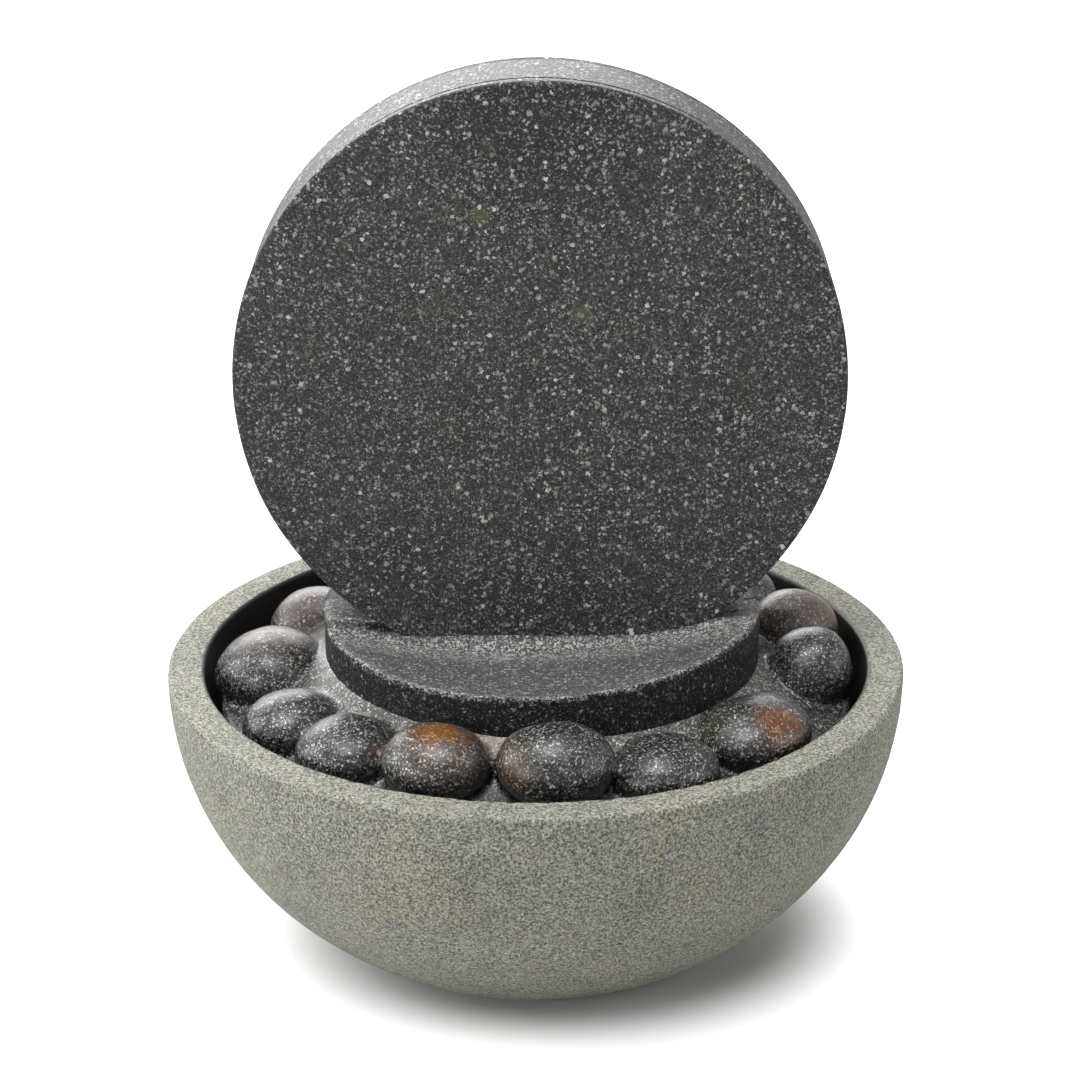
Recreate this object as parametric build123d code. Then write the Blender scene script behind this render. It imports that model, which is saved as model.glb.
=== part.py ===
from build123d import *
import os
from math import cos, radians, sin, sqrt

# A tabletop indoor fountain: a bowl, a lift-out insert of pebbles, pedestal and disc, and a
# submersible pump. Millimetres, +Z up, front towards -Y, origin under the centre of the foot.

# Driving dimensions of the whole fountain
bowl_radius = 150.0
bowl_height = 125.0
disc_share = 0.79867
drum_share = 0.59
disc_depth = 42.6
drum_rise = 24.5
seat_depth = 21.0
column_offset = 2.6

# Clearances, and how far a cut runs past what it cuts
slip_gap = 0.3
seat_gap = 0.3
bond_gap = 0.05
running_gap = 0.08
overrun = 2.0

# Bowl and foot
pad_thickness = 2.0
pad_radius = 61.0
pad_round = 0.8
foot_radius = 65.0
rim_width = 15.0
rim_round = 1.4
floor_thickness = 11.0
floor_radius = 56.0
outer_curve_shares = (0.506, 0.144, 0.51)
inner_curve_shares = (0.5, 0.12, 0.52)

# Lugs that carry the insert, and the rubber pads on them
lug_count = 4
lug_first_angle = 45.0
lug_width = 16.0
lug_reach = 20.0
lug_height = 15.0
lug_slope = 14.0
lug_root = 4.0
support_pad_radius = 4.5
support_pad_thickness = 2.0
support_pad_inset = 9.0

# Pebble tray
water_gap = 6.0
tray_drop = 20.0
tray_thickness = 5.5
tray_edge_round = 1.5
bank_height = 20.0
bank_margin = 5.0
bank_sag = 3.0
pebble_length = 42.0
pebble_side_gap = 0.25
pebble_height = 33.0
pebble_rise = 10.0

# Each pebble: its angle, then shares of the ring radius, length, width, height and rise
pebble_shares = (
    (274.4, 0.977, 1.071, 0.980, 1.000, 1.554),
    (249.9, 0.986, 1.014, 0.975, 0.933, 1.313),
    (228.2, 0.996, 0.967, 0.985, 0.870, 1.084),
    (207.2, 1.005, 0.860, 1.000, 0.900, 0.964),
    (178.8, 0.994, 1.024, 1.110, 1.036, 1.024),
    (151.0, 0.981, 0.950, 0.965, 1.006, 0.819),
    (129.5, 0.985, 0.810, 0.985, 0.952, 0.638),
    (108.0, 1.000, 0.905, 0.950, 0.900, 0.880),
    (85.0, 0.990, 1.000, 0.970, 0.950, 1.000),
    (62.0, 0.995, 0.930, 0.960, 0.920, 0.819),
    (39.0, 0.998, 0.870, 1.000, 0.980, 0.807),
    (17.5, 1.020, 0.830, 0.920, 1.120, 1.337),
    (357.8, 1.016, 0.790, 0.960, 1.036, 1.060),
    (322.4, 1.006, 1.190, 1.030, 0.855, 1.012),
    (297.4, 1.005, 1.000, 0.930, 0.760, 0.940),
)

# Pedestal
drum_edge_round = 1.2
drum_wall = 8.0
scoop_depth = 9.7
scoop_inset = 12.8
scoop_shift = 45.5
scoop_side = -6.6
ledge_thickness = 5.0
cove_radius = 12.0
saddle_margin = 8.0
saddle_floor = 6.0

# Disc
disc_edge_round = 0.9
face_thickness = 5.0
band_thickness = 6.0
cover_thickness = 4.5
cover_groove = 0.5
cover_lip_depth = 5.0
cover_lip_wall = 4.0
slit_width = 1.6
slit_half_angle = 32.0
screw_count = 4
screw_first_angle = 45.0
screw_inset = 9.8
boss_radius = 5.0
screw_radius = 1.7
screw_length = 16.0
screw_head_radius = 3.4
screw_head_height = 2.0
screw_recess_radius = 3.9
cross_width = 0.9
cross_length = 3.6
cross_depth = 1.0

# Spreader trough behind the slit
trough_wall = 2.0
trough_clearance = 4.1
trough_height = 14.0
trough_half_angle = 34.0
trough_end_angle = 1.2
spigot_length = 14.0

# Riser tube, half-inch clear tubing, and its grommet in the tray
tube_bore_radius = 6.35
tube_wall = 1.6
grommet_wall = 1.6
grommet_flange = 2.6
grommet_flange_thickness = 1.8

# Pump
cup_height = 6.0
cup_radius = 7.0
cup_neck_radius = 3.2
cup_wall = 1.2
cup_stud_radius = 2.0
cup_stud_length = 3.5
cup_inset = 8.5
pump_width = 36.0
pump_height = 36.0
pump_corner = 4.0
motor_length = 34.0
volute_length = 15.0
volute_corner = 3.0
rotor_bore_radius = 8.6
rotor_bore_length = 27.0
chamber_radius = 12.0
chamber_length = 9.0
inlet_radius = 6.5
hub_radius = 3.2
spider_arm = 1.6
spider_arms = 3
fin_count = 6
fin_width = 1.6
fin_height = 1.4
fin_pitch = 4.6
outlet_bore_radius = 3.4
outlet_wall = 1.2
outlet_length = 12.0
adapter_flange_radius = 8.0
adapter_flange = 3.0
adapter_stand = 3.0
adapter_length = 17.0
gland_radius = 4.5
gland_length = 5.0
gland_neck_radius = 3.4
gland_neck_length = 6.0
gland_bore_radius = 2.4
gland_height = 9.0

# Rotor
shaft_radius = 1.25
bush_radius = 2.2
bush_length = 3.0
magnet_radius = 7.6
magnet_length = 22.0
impeller_radius = 10.6
impeller_disc = 1.4
impeller_width = 7.0
impeller_hub_radius = 3.4
vane_count = 6
vane_width = 1.3
end_play = 0.4

# Inlet cover, foam and flow gate
cover_sleeve = 2.0
cover_wall = 1.6
cover_length = 13.0
slot_count = 7
slot_width = 2.0
slot_pitch = 4.0
slot_height_share = 0.62
window_width = 8.0
window_length = 4.0
window_front = 3.5
foam_thickness = 5.0
foam_gap = 0.6
gate_thickness = 1.4
gate_length = 10.0
gate_width = 6.4
gate_lap = 1.0
gate_knob = 2.2
gate_knob_height = 2.0
rail_margin = 1.0
rail_width = 1.2
rail_lip = 1.2
rail_lip_thickness = 1.0

# Heights and places that follow
floor_top = pad_thickness + floor_thickness
tray_radius = bowl_radius - rim_width - water_gap
tray_bottom = bowl_height - tray_drop
tray_top = tray_bottom + tray_thickness
lug_tip = bowl_radius - rim_width - lug_reach
lug_top = tray_bottom - seat_gap - support_pad_thickness
drum_top = bowl_height + drum_rise
disc_radius = bowl_radius * disc_share
drum_radius = bowl_radius * drum_share
seat_low = drum_top - seat_depth
seat_half = sqrt(disc_radius**2 - (disc_radius - seat_depth) ** 2)
pebble_ring = (tray_radius + drum_radius) / 2 + pebble_side_gap
pebble_width = tray_radius - drum_radius - 2 * pebble_side_gap
disc_level = seat_low + disc_radius
disc_front = -disc_depth / 2
disc_back = disc_depth / 2
face_back = disc_front + face_thickness
seam = disc_back - cover_thickness
band_inside = disc_radius - band_thickness
screw_ring = band_inside - screw_inset
trough_back = seam - cover_lip_depth - trough_clearance
tube_radius = tube_bore_radius + tube_wall
pump_bottom = floor_top + cup_height
pump_level = pump_bottom + pump_height / 2
pump_top = pump_bottom + pump_height
volute_front = -volute_length / 2
volute_back = volute_length / 2
motor_back = volute_back + motor_length
trough_inside = band_inside - trough_height
outlet_radius = outlet_bore_radius + outlet_wall
adapter_bottom = pump_top + adapter_stand
tube_bottom = adapter_bottom + adapter_flange + seat_gap
gate_left = -window_width / 2 - gate_length
gate_travel = window_width + gate_lap

low_end = (Align.CENTER, Align.CENTER, Align.MIN)


def post(radius, low, high, x=0, y=0):
    """An upright round bar between two heights."""
    return Pos(x, y, low) * Cylinder(radius, high - low, align=low_end)


def axle(radius, front, back, x=0, z=0):
    """A round bar along Y between its front and back ends."""
    return Pos(x, front, z) * Rot(X=-90) * Cylinder(radius, back - front, align=low_end)


def block(left, right, front, back, low, high):
    """A rectangular block between two corners."""
    middle = Pos((left + right) / 2, (front + back) / 2, (low + high) / 2)
    return middle * Box(right - left, back - front, high - low)


def turned(outline):
    """A solid turned about the upright axis from an outline in the XZ plane."""
    return revolve(make_face(Plane.XZ * outline), Axis.Z)


def sector(inner, outer, half_angle, front, back):
    """The top part of a ring about the Y axis, within half_angle of upright."""
    ring = axle(outer, front, back) - axle(inner, front - overrun, back + overrun)
    reach = outer / cos(radians(half_angle)) + overrun
    side = reach * sin(radians(half_angle))
    rise = reach * cos(radians(half_angle))
    wedge = Plane.XZ * Polyline((0, 0), (side, rise), (-side, rise), close=True)
    return ring & extrude(make_face(wedge), amount=disc_depth, both=True)


def ring_places(count, radius, first_angle):
    """Places spaced evenly round the upright axis."""
    return [Rot(Z=first_angle + 360 * step / count) * Pos(X=radius) for step in range(count)]


def disc_places(count, radius, first_angle):
    """Places spaced evenly round the disc's axis, which lies along Y."""
    angles = [radians(first_angle + 360 * step / count) for step in range(count)]
    return [(radius * cos(angle), radius * sin(angle)) for angle in angles]


def rim_curve(start, end, shares):
    """The swelling side of the bowl, upright where it meets the rim."""
    reach = end[0] - start[0]
    rise = end[1] - start[1]
    out_share, up_share, rim_share = shares
    first_pull = (start[0] + reach * out_share, start[1] + rise * up_share)
    last_pull = (end[0], end[1] - rise * rim_share)
    return Bezier(start, first_pull, last_pull, end)


def make_base_pad():
    """The round pad under the foot."""
    pad = post(pad_radius, 0, pad_thickness)
    return fillet(pad.edges().sort_by(Axis.Z)[0], pad_round)


def make_bowl():
    """The cast bowl: a swelling side and a flat rim."""
    foot = (foot_radius, pad_thickness)
    outer_rim = (bowl_radius, bowl_height)
    inner_rim = (bowl_radius - rim_width, bowl_height)
    inner_foot = (floor_radius, floor_top)
    outline = rim_curve(foot, outer_rim, outer_curve_shares)
    outline += Line(outer_rim, inner_rim)
    outline += rim_curve(inner_foot, inner_rim, inner_curve_shares)
    outline += Polyline(inner_foot, (0, floor_top), (0, pad_thickness), foot)
    bowl = turned(outline)
    rim_edges = bowl.edges().group_by(Axis.Z)[-1]
    return fillet(rim_edges, rim_round)


def make_support_lugs():
    """Four blocks bonded inside the bowl's wall, which carry the insert."""
    root = bowl_radius - rim_width + lug_root
    lug_bottom = lug_top - lug_height
    side = Polyline(
        (lug_tip, lug_top),
        (root, lug_top),
        (root, lug_bottom - lug_slope),
        (lug_tip, lug_bottom),
        close=True,
    )
    lug = extrude(make_face(Plane.XZ * side), amount=lug_width / 2, both=True)
    bowl = make_bowl()
    return [place * lug - bowl for place in ring_places(lug_count, 0, lug_first_angle)]


def make_support_pads():
    """Rubber pads on the lugs."""
    pad = post(support_pad_radius, lug_top, lug_top + support_pad_thickness)
    ring = lug_tip + support_pad_inset
    return [place * pad for place in ring_places(lug_count, ring, lug_first_angle)]


def make_pebble(row):
    """One moulded pebble, an ellipsoid set on the ring."""
    angle, ring_share, length_share, width_share, height_share, rise_share = row
    half_width = pebble_width * width_share / 2
    half_length = pebble_length * length_share / 2
    half_height = pebble_height * height_share / 2
    stone = scale(Sphere(1), by=(half_width, half_length, half_height))
    level = tray_top + pebble_rise * rise_share
    return Rot(Z=angle) * Pos(pebble_ring * ring_share, 0, level) * stone


def make_pebble_tray():
    """The ring casting: a flat tray, a bank rising to the drum, and the pebbles."""
    bank_top = tray_top + bank_height
    hole_radius = tube_radius + grommet_wall
    bank_foot = (tray_radius - bank_margin, tray_top)
    bank_head = (drum_radius - column_offset, bank_top)
    outline = Polyline(
        bank_head,
        (0, bank_top),
        (0, tray_bottom),
        (tray_radius, tray_bottom),
        (tray_radius, tray_top),
        bank_foot,
    )
    outline += SagittaArc(bank_foot, bank_head, -bank_sag)
    tray = turned(outline)
    flat_circles = tray.edges().filter_by(GeomType.CIRCLE).filter_by(Plane.XY)
    tray = fillet(flat_circles.group_by(SortBy.RADIUS)[-1], tray_edge_round)
    for row in pebble_shares:
        tray += make_pebble(row)
    tray &= post(bowl_radius, tray_bottom, disc_level)
    tray -= post(drum_radius + bond_gap, tray_top, disc_level, column_offset)
    tray -= post(hole_radius, tray_bottom - overrun, tray_top + overrun, column_offset)
    return tray


def make_tube_grommet():
    """Rubber grommet gripping the tray's hole and the riser tube."""
    inside = tube_radius + bond_gap
    outside = tube_radius + grommet_wall - bond_gap
    flange = tube_radius + grommet_wall + grommet_flange
    low = tray_bottom - grommet_flange_thickness
    high = tray_top + grommet_flange_thickness
    grommet = post(flange, low, tray_bottom)
    grommet += post(outside, tray_bottom, tray_top)
    grommet += post(flange, tray_top, high)
    return grommet - post(inside, low - overrun, high + overrun)


def make_pedestal():
    """The drum: a hollow shell with a saddle for the disc and a scooped ledge before it."""
    drum = post(drum_radius, tray_top, drum_top)
    drum = fillet(drum.edges().sort_by(Axis.Z)[-1], drum_edge_round)
    scoop_reach = drum_radius - scoop_inset
    scoop_centre = scoop_shift - drum_radius
    ball_radius = (scoop_reach**2 + scoop_depth**2) / (2 * scoop_depth)
    ball_level = drum_top - scoop_depth + ball_radius
    before_disc = block(
        -drum_radius, drum_radius, -drum_radius, disc_front, tray_top, disc_level
    )
    drum -= before_disc & (Pos(scoop_side, scoop_centre, ball_level) * Sphere(ball_radius))
    ledge_low = drum_top - scoop_depth - ledge_thickness
    drum -= post(drum_radius - drum_wall, tray_top - overrun, ledge_low)
    half = seat_half + saddle_margin
    front = disc_front - saddle_margin
    back = disc_back + saddle_margin
    drum += block(-half, half, front, back, seat_low - saddle_floor, ledge_low)
    cove_front = disc_front - cove_radius
    cove = Polyline(
        (disc_front, drum_top),
        (disc_front, ledge_low),
        (cove_front, ledge_low),
        (cove_front, drum_top - scoop_depth),
    )
    cove += RadiusArc(
        (cove_front, drum_top - scoop_depth), (disc_front, drum_top), cove_radius
    )
    drum += extrude(make_face(Plane.YZ * cove), amount=seat_half, both=True)
    drum -= axle(disc_radius + bond_gap, disc_front, disc_back, 0, disc_level)
    drum -= post(tube_radius + slip_gap, tray_top, drum_top)
    return drum


def make_disc_shell():
    """The disc's face and rim band in one casting, with the slit along the top of the face."""
    shell = axle(disc_radius, disc_front, seam)
    shell = fillet(shell.edges().sort_by(Axis.Y)[0], disc_edge_round)
    shell = chamfer(shell.edges().sort_by(Axis.Y)[-1], cover_groove)
    shell -= axle(band_inside, face_back, seam + overrun)
    slit_inside = band_inside - overrun
    slit_outside = disc_radius + overrun
    shell -= sector(slit_inside, slit_outside, slit_half_angle, face_back, face_back + slit_width)
    boss_back = seam - cover_lip_depth
    for x, z in disc_places(screw_count, screw_ring, screw_first_angle):
        shell += axle(boss_radius, face_back, boss_back, x, z)
        shell -= axle(screw_radius + bond_gap, face_back, seam, x, z)
    shell -= post(tube_radius + bond_gap, -disc_radius - overrun, -band_inside + overrun)
    return Pos(0, 0, disc_level) * shell


def make_disc_back_cover():
    """The disc's back: a flat plate with a locating lip and four recessed screw holes."""
    plate = axle(disc_radius, seam, disc_back)
    plate = fillet(plate.edges().sort_by(Axis.Y)[-1], disc_edge_round)
    plate = chamfer(plate.edges().sort_by(Axis.Y)[0], cover_groove)
    lip_outside = band_inside - bond_gap
    lip = axle(lip_outside, seam - cover_lip_depth, seam)
    lip -= axle(lip_outside - cover_lip_wall, seam - cover_lip_depth - overrun, seam + overrun)
    plate += lip
    for x, z in disc_places(screw_count, screw_ring, screw_first_angle):
        plate += axle(boss_radius, seam - cover_lip_depth, seam, x, z)
        plate -= axle(screw_radius + bond_gap, seam - cover_lip_depth, disc_back, x, z)
        plate -= axle(screw_recess_radius, disc_back - screw_head_height, disc_back, x, z)
    return Pos(0, 0, disc_level) * plate


def make_cover_screws():
    """Pan-head screws through the back cover into the shell's bosses."""
    screws = []
    for x, z in disc_places(screw_count, screw_ring, screw_first_angle):
        under_head = disc_back - screw_head_height
        screw = axle(screw_head_radius, under_head, disc_back, x, disc_level + z)
        screw += axle(screw_radius, under_head - screw_length, under_head, x, disc_level + z)
        half_length = cross_length / 2
        half_width = cross_width / 2
        slot_bottom = disc_back - cross_depth
        for reach, breadth in ((half_length, half_width), (half_width, half_length)):
            screw -= block(
                x - reach,
                x + reach,
                slot_bottom,
                disc_back + overrun,
                disc_level + z - breadth,
                disc_level + z + breadth,
            )
        screws.append(screw)
    return screws


def make_spreader_trough():
    """The channel behind the slit, with the spigot that the riser tube is pushed on."""
    trough = sector(
        trough_inside - trough_wall, band_inside, trough_half_angle, face_back, trough_back
    )
    trough -= sector(
        trough_inside,
        band_inside + overrun,
        trough_half_angle - trough_end_angle,
        face_back - overrun,
        trough_back - trough_wall,
    )
    spigot_radius = tube_bore_radius - bond_gap
    trough += post(spigot_radius, trough_inside - spigot_length, trough_inside - trough_wall / 2)
    bore_radius = spigot_radius - trough_wall
    trough -= post(bore_radius, trough_inside - spigot_length - overrun, trough_inside + overrun)
    return Pos(0, 0, disc_level) * trough


def make_riser_tube():
    """Clear tube from the pump's outlet up to the trough."""
    trough_underside = trough_inside - trough_wall
    tube_top = disc_level + sqrt(trough_underside**2 - tube_radius**2) - seat_gap
    tube = post(tube_radius, tube_bottom, tube_top)
    return tube - post(tube_bore_radius, tube_bottom - overrun, tube_top + overrun)


def pump_block(front, back, width, corner):
    """A pump casing block with rounded long edges."""
    casing = block(-width / 2, width / 2, front, back, pump_bottom, pump_top)
    return fillet(casing.edges().filter_by(Axis.Y), corner)


def cup_places():
    """Where the four suction cups sit under the pump."""
    side = pump_width / 2 - cup_inset
    return [(x, y) for x in (-side, side) for y in (volute_back + cup_inset, motor_back - cup_inset)]


def make_pump_body():
    """The motor block, with the rotor's bore, fins on top and the cord's entry behind."""
    body = pump_block(volute_back, motor_back, pump_width, pump_corner)
    first_fin = volute_back + (motor_length - fin_pitch * (fin_count - 1)) / 2
    fin_half = pump_width / 2 - pump_corner
    for step in range(fin_count):
        middle = first_fin + fin_pitch * step
        front = middle - fin_width / 2
        back = middle + fin_width / 2
        body += block(-fin_half, fin_half, front, back, pump_top, pump_top + fin_height)
    bore_back = volute_back + rotor_bore_length
    body -= axle(rotor_bore_radius, volute_back, bore_back, 0, pump_level)
    body -= axle(bush_radius + bond_gap, bore_back, bore_back + bush_length, 0, pump_level)
    entry = pump_level + gland_height
    body -= axle(gland_neck_radius + bond_gap, motor_back - gland_neck_length, motor_back, 0, entry)
    for x, y in cup_places():
        body -= post(cup_stud_radius + bond_gap, pump_bottom, pump_bottom + cup_stud_length, x, y)
    return body


def make_pump_cord_gland():
    """Rubber gland where a cord enters the motor block."""
    entry = pump_level + gland_height
    gland = axle(gland_radius, motor_back, motor_back + gland_length, 0, entry)
    gland += axle(gland_neck_radius, motor_back - gland_neck_length, motor_back, 0, entry)
    bore_front = motor_back - gland_neck_length / 2
    return gland - axle(gland_bore_radius, bore_front, motor_back + gland_length, 0, entry)


def make_suction_cups():
    """Four rubber cups that hold the pump to the bowl's floor."""
    outline = Polyline(
        (0, floor_top + cup_wall),
        (0, pump_bottom + cup_stud_length),
        (cup_stud_radius, pump_bottom + cup_stud_length),
        (cup_stud_radius, pump_bottom),
        (cup_neck_radius, pump_bottom),
        (cup_neck_radius, pump_bottom - cup_height / 2),
        (cup_radius, floor_top + cup_wall),
        (cup_radius, floor_top),
        (cup_radius - cup_wall, floor_top),
        close=True,
    )
    cup = turned(outline)
    return [Pos(x, y, 0) * cup for x, y in cup_places()]


def make_pump_volute():
    """The impeller chamber, with a spider for the shaft's front bush and the outlet above."""
    casing = pump_block(volute_front, volute_back, pump_width, volute_corner)
    chamber_front = -chamber_length / 2
    chamber_back = chamber_length / 2
    casing -= axle(chamber_radius, chamber_front, chamber_back, 0, pump_level)
    casing -= axle(rotor_bore_radius, chamber_back, volute_back, 0, pump_level)
    casing -= axle(inlet_radius, volute_front, chamber_front, 0, pump_level)
    arm = block(-spider_arm / 2, spider_arm / 2, volute_front, chamber_front, 0, inlet_radius + overrun)
    for step in range(spider_arms):
        casing += Pos(0, 0, pump_level) * Rot(Y=360 * step / spider_arms) * arm
    casing += axle(hub_radius, volute_front, chamber_front, 0, pump_level)
    casing -= axle(bush_radius + bond_gap, volute_front, chamber_front, 0, pump_level)
    casing += post(outlet_radius, pump_top - overrun, pump_top + outlet_length)
    casing -= post(outlet_bore_radius, pump_level + hub_radius, pump_top + outlet_length)
    return casing


def make_outlet_adapter():
    """The stepped sleeve over the outlet, which the riser tube slips on."""
    adapter = post(adapter_flange_radius, adapter_bottom, adapter_bottom + adapter_flange)
    top = adapter_bottom + adapter_length
    adapter += post(tube_bore_radius - slip_gap, adapter_bottom, top)
    return adapter - post(outlet_radius + bond_gap, adapter_bottom, top)


def make_shaft():
    """The ceramic shaft, held still in its two bushes."""
    back = volute_back + rotor_bore_length + bush_length
    return axle(shaft_radius, volute_front, back, 0, pump_level)


def make_bushes():
    """Rubber bushes at the shaft's two ends."""
    bore_back = volute_back + rotor_bore_length
    front = axle(bush_radius, volute_front, volute_front + bush_length, 0, pump_level)
    back = axle(bush_radius, bore_back, bore_back + bush_length, 0, pump_level)
    hole = axle(shaft_radius + bond_gap, volute_front, bore_back + bush_length, 0, pump_level)
    return [front - hole, back - hole]


def make_magnet():
    """The ring magnet that the motor's field turns."""
    front = volute_back + end_play
    magnet = axle(magnet_radius, front, front + magnet_length, 0, pump_level)
    return magnet - axle(shaft_radius + running_gap, front, front + magnet_length, 0, pump_level)


def make_impeller():
    """The vane wheel, with a hub that reaches back to the magnet."""
    wheel_front = -impeller_width / 2
    wheel_back = impeller_width / 2
    wheel = axle(impeller_radius, wheel_back - impeller_disc, wheel_back)
    vane = block(-vane_width / 2, vane_width / 2, wheel_front, wheel_back, 0, impeller_radius)
    for step in range(vane_count):
        wheel += Rot(Y=360 * step / vane_count) * vane
    wheel &= axle(impeller_radius, wheel_front, wheel_back)
    wheel += axle(impeller_hub_radius, wheel_front, volute_back + end_play)
    wheel -= axle(shaft_radius + running_gap, wheel_front, volute_back + end_play)
    return Pos(0, 0, pump_level) * wheel


def inlet_cover_size():
    """Half widths and ends of the inlet cover: inside, outside, front and back."""
    inside = pump_width / 2 + slip_gap
    back = volute_front + cover_sleeve
    return inside, inside + cover_wall, back - cover_length - cover_sleeve, back


def make_inlet_cover():
    """The slotted cover that sleeves over the front of the pump."""
    inside, outside, front, back = inlet_cover_size()
    height = pump_height / 2 + slip_gap
    shell = block(-outside, outside, front, back, -height - cover_wall, height + cover_wall)
    shell = fillet(shell.edges().filter_by(Axis.Y), volute_corner + slip_gap + cover_wall)
    hollow = block(-inside, inside, front + cover_wall, back + overrun, -height, height)
    shell -= fillet(hollow.edges().filter_by(Axis.Y), volute_corner + slip_gap)
    slot_half = pump_height * slot_height_share / 2
    for step in range(slot_count):
        middle = slot_pitch * (step - (slot_count - 1) / 2)
        left = middle - slot_width / 2
        right = middle + slot_width / 2
        shell -= block(left, right, front - overrun, front + cover_wall, -slot_half, slot_half)
    window_start = front + cover_wall + window_front
    window_end = window_start + window_length
    roof = height + cover_wall
    half = window_width / 2
    shell -= block(-half, half, window_start, window_end, height - overrun, roof + overrun)
    gate_middle = (window_start + window_end) / 2
    channel = gate_width / 2 + slip_gap
    lip_low = roof + gate_thickness + slip_gap
    lip_high = lip_low + rail_lip_thickness
    rail_left = gate_left - rail_margin
    rail_right = gate_left + gate_length + gate_travel + rail_margin
    for side in (-1, 1):
        rail_inside = gate_middle + side * channel
        rail_outside = rail_inside + side * rail_width
        ends = sorted((rail_inside, rail_outside))
        shell += block(rail_left, rail_right, ends[0], ends[1], roof, lip_high)
        lip_ends = sorted((rail_inside - side * rail_lip, rail_outside))
        shell += block(rail_left, rail_right, lip_ends[0], lip_ends[1], lip_low, lip_high)
    return Pos(0, 0, pump_level) * shell


def make_flow_gate():
    """The sliding plate over the cover's window, with its finger rib."""
    front = inlet_cover_size()[2]
    window_start = front + cover_wall + window_front
    middle = window_start + window_length / 2
    low = pump_height / 2 + slip_gap + cover_wall + slip_gap / 2
    half = gate_width / 2
    right = gate_left + gate_length
    gate = block(gate_left, right, middle - half, middle + half, low, low + gate_thickness)
    knob_middle = gate_left + gate_length / 2
    knob_half = gate_knob / 2
    knob_top = low + gate_thickness + gate_knob_height
    reach = half - rail_lip - slip_gap
    knob = block(
        knob_middle - knob_half, knob_middle + knob_half, middle - reach, middle + reach, low, knob_top
    )
    return Pos(0, 0, pump_level) * (gate + knob)


def make_intake_filter():
    """The foam slab inside the inlet cover."""
    inside, _, front, _ = inlet_cover_size()
    start = front + cover_wall + foam_gap
    half = inside - foam_gap
    height = pump_height / 2 + slip_gap - foam_gap
    slab = block(-half, half, start, start + foam_thickness, -height, height)
    slab = fillet(slab.edges().filter_by(Axis.Y), volute_corner)
    return Pos(0, 0, pump_level) * slab


def save(name, shape):
    """Write one sub-part, a solid or a list of solids, as its own file."""
    solids = shape if isinstance(shape, list) else [shape]
    pieces = [solid for item in solids for solid in item.solids()]
    export_step(Compound(children=pieces) if len(pieces) > 1 else pieces[0], f"parts/{name}.step")


def main():
    os.makedirs("parts", exist_ok=True)
    on_centre = {
        "base_pad": make_base_pad(),
        "bowl": make_bowl(),
        "support_lugs": make_support_lugs(),
        "support_pads": make_support_pads(),
        "pebble_tray": make_pebble_tray(),
    }
    on_column = {
        "tube_grommet": make_tube_grommet(),
        "pedestal": make_pedestal(),
        "disc_shell": make_disc_shell(),
        "disc_back_cover": make_disc_back_cover(),
        "cover_screws": make_cover_screws(),
        "spreader_trough": make_spreader_trough(),
        "riser_tube": make_riser_tube(),
        "pump_body": make_pump_body(),
        "pump_cord_gland": make_pump_cord_gland(),
        "pump_suction_cups": make_suction_cups(),
        "pump_volute": make_pump_volute(),
        "outlet_adapter": make_outlet_adapter(),
        "impeller_shaft": make_shaft(),
        "shaft_bushes": make_bushes(),
        "impeller_magnet": make_magnet(),
        "impeller": make_impeller(),
        "pump_inlet_cover": make_inlet_cover(),
        "flow_gate": make_flow_gate(),
        "intake_filter": make_intake_filter(),
    }
    for name, shape in on_centre.items():
        save(name, shape)
    column = Pos(column_offset, 0, 0)
    for name, shape in on_column.items():
        solids = shape if isinstance(shape, list) else [shape]
        save(name, [column * solid for solid in solids])


main()
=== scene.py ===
import math

import bpy
from mathutils import Matrix, Vector


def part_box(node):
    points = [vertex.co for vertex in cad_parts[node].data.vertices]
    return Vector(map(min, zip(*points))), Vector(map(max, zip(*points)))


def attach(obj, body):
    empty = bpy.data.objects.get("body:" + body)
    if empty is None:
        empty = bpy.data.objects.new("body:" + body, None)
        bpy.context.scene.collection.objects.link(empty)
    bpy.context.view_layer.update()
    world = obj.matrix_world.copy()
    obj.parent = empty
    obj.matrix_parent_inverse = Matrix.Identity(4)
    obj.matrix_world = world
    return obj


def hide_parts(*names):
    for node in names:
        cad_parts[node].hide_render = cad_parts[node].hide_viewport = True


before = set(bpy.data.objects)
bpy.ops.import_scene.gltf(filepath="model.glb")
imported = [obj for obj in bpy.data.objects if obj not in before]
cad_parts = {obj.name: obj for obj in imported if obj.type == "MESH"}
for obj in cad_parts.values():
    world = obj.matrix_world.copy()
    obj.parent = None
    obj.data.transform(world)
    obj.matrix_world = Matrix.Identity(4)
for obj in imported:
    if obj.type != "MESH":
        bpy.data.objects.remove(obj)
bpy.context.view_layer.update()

# ---------------------------------------------------------------------------------------------
# Camera: a long lens about a metre in front of the fountain and a little above the disc's
# middle, looking down on it by 21 degrees.
camera_place = (0.01197, -1.13057, 0.62002)
camera_pitch = 0.374806
camera_yaw = -0.0087528
camera_roll = -0.0053349

camera_lens = bpy.data.cameras.new("camera")
camera_lens.sensor_width = 36.0
camera_lens.lens = 100.23
camera = bpy.data.objects.new("camera", camera_lens)
bpy.context.scene.collection.objects.link(camera)
camera.matrix_world = (
    Matrix.Translation(camera_place)
    @ Matrix.Rotation(-camera_yaw, 4, "Z")
    @ Matrix.Rotation(math.pi / 2 - camera_pitch, 4, "X")
    @ Matrix.Rotation(camera_roll, 4, "Z")
)
bpy.context.scene.camera = camera
bpy.context.scene.view_settings.view_transform = "Standard"

# ---------------------------------------------------------------------------------------------
# Studio: a white table top and backdrop, with softboxes above, behind, at both sides and in
# front. The table is pure white round the fountain from a glow that only the camera sees; the
# glow is held back in a squeezed ring round the foot, so the shadow's reach there is painted
# shadow over the real shading.
mm = 0.001
white = (1.0, 1.0, 1.0, 1.0)


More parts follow.
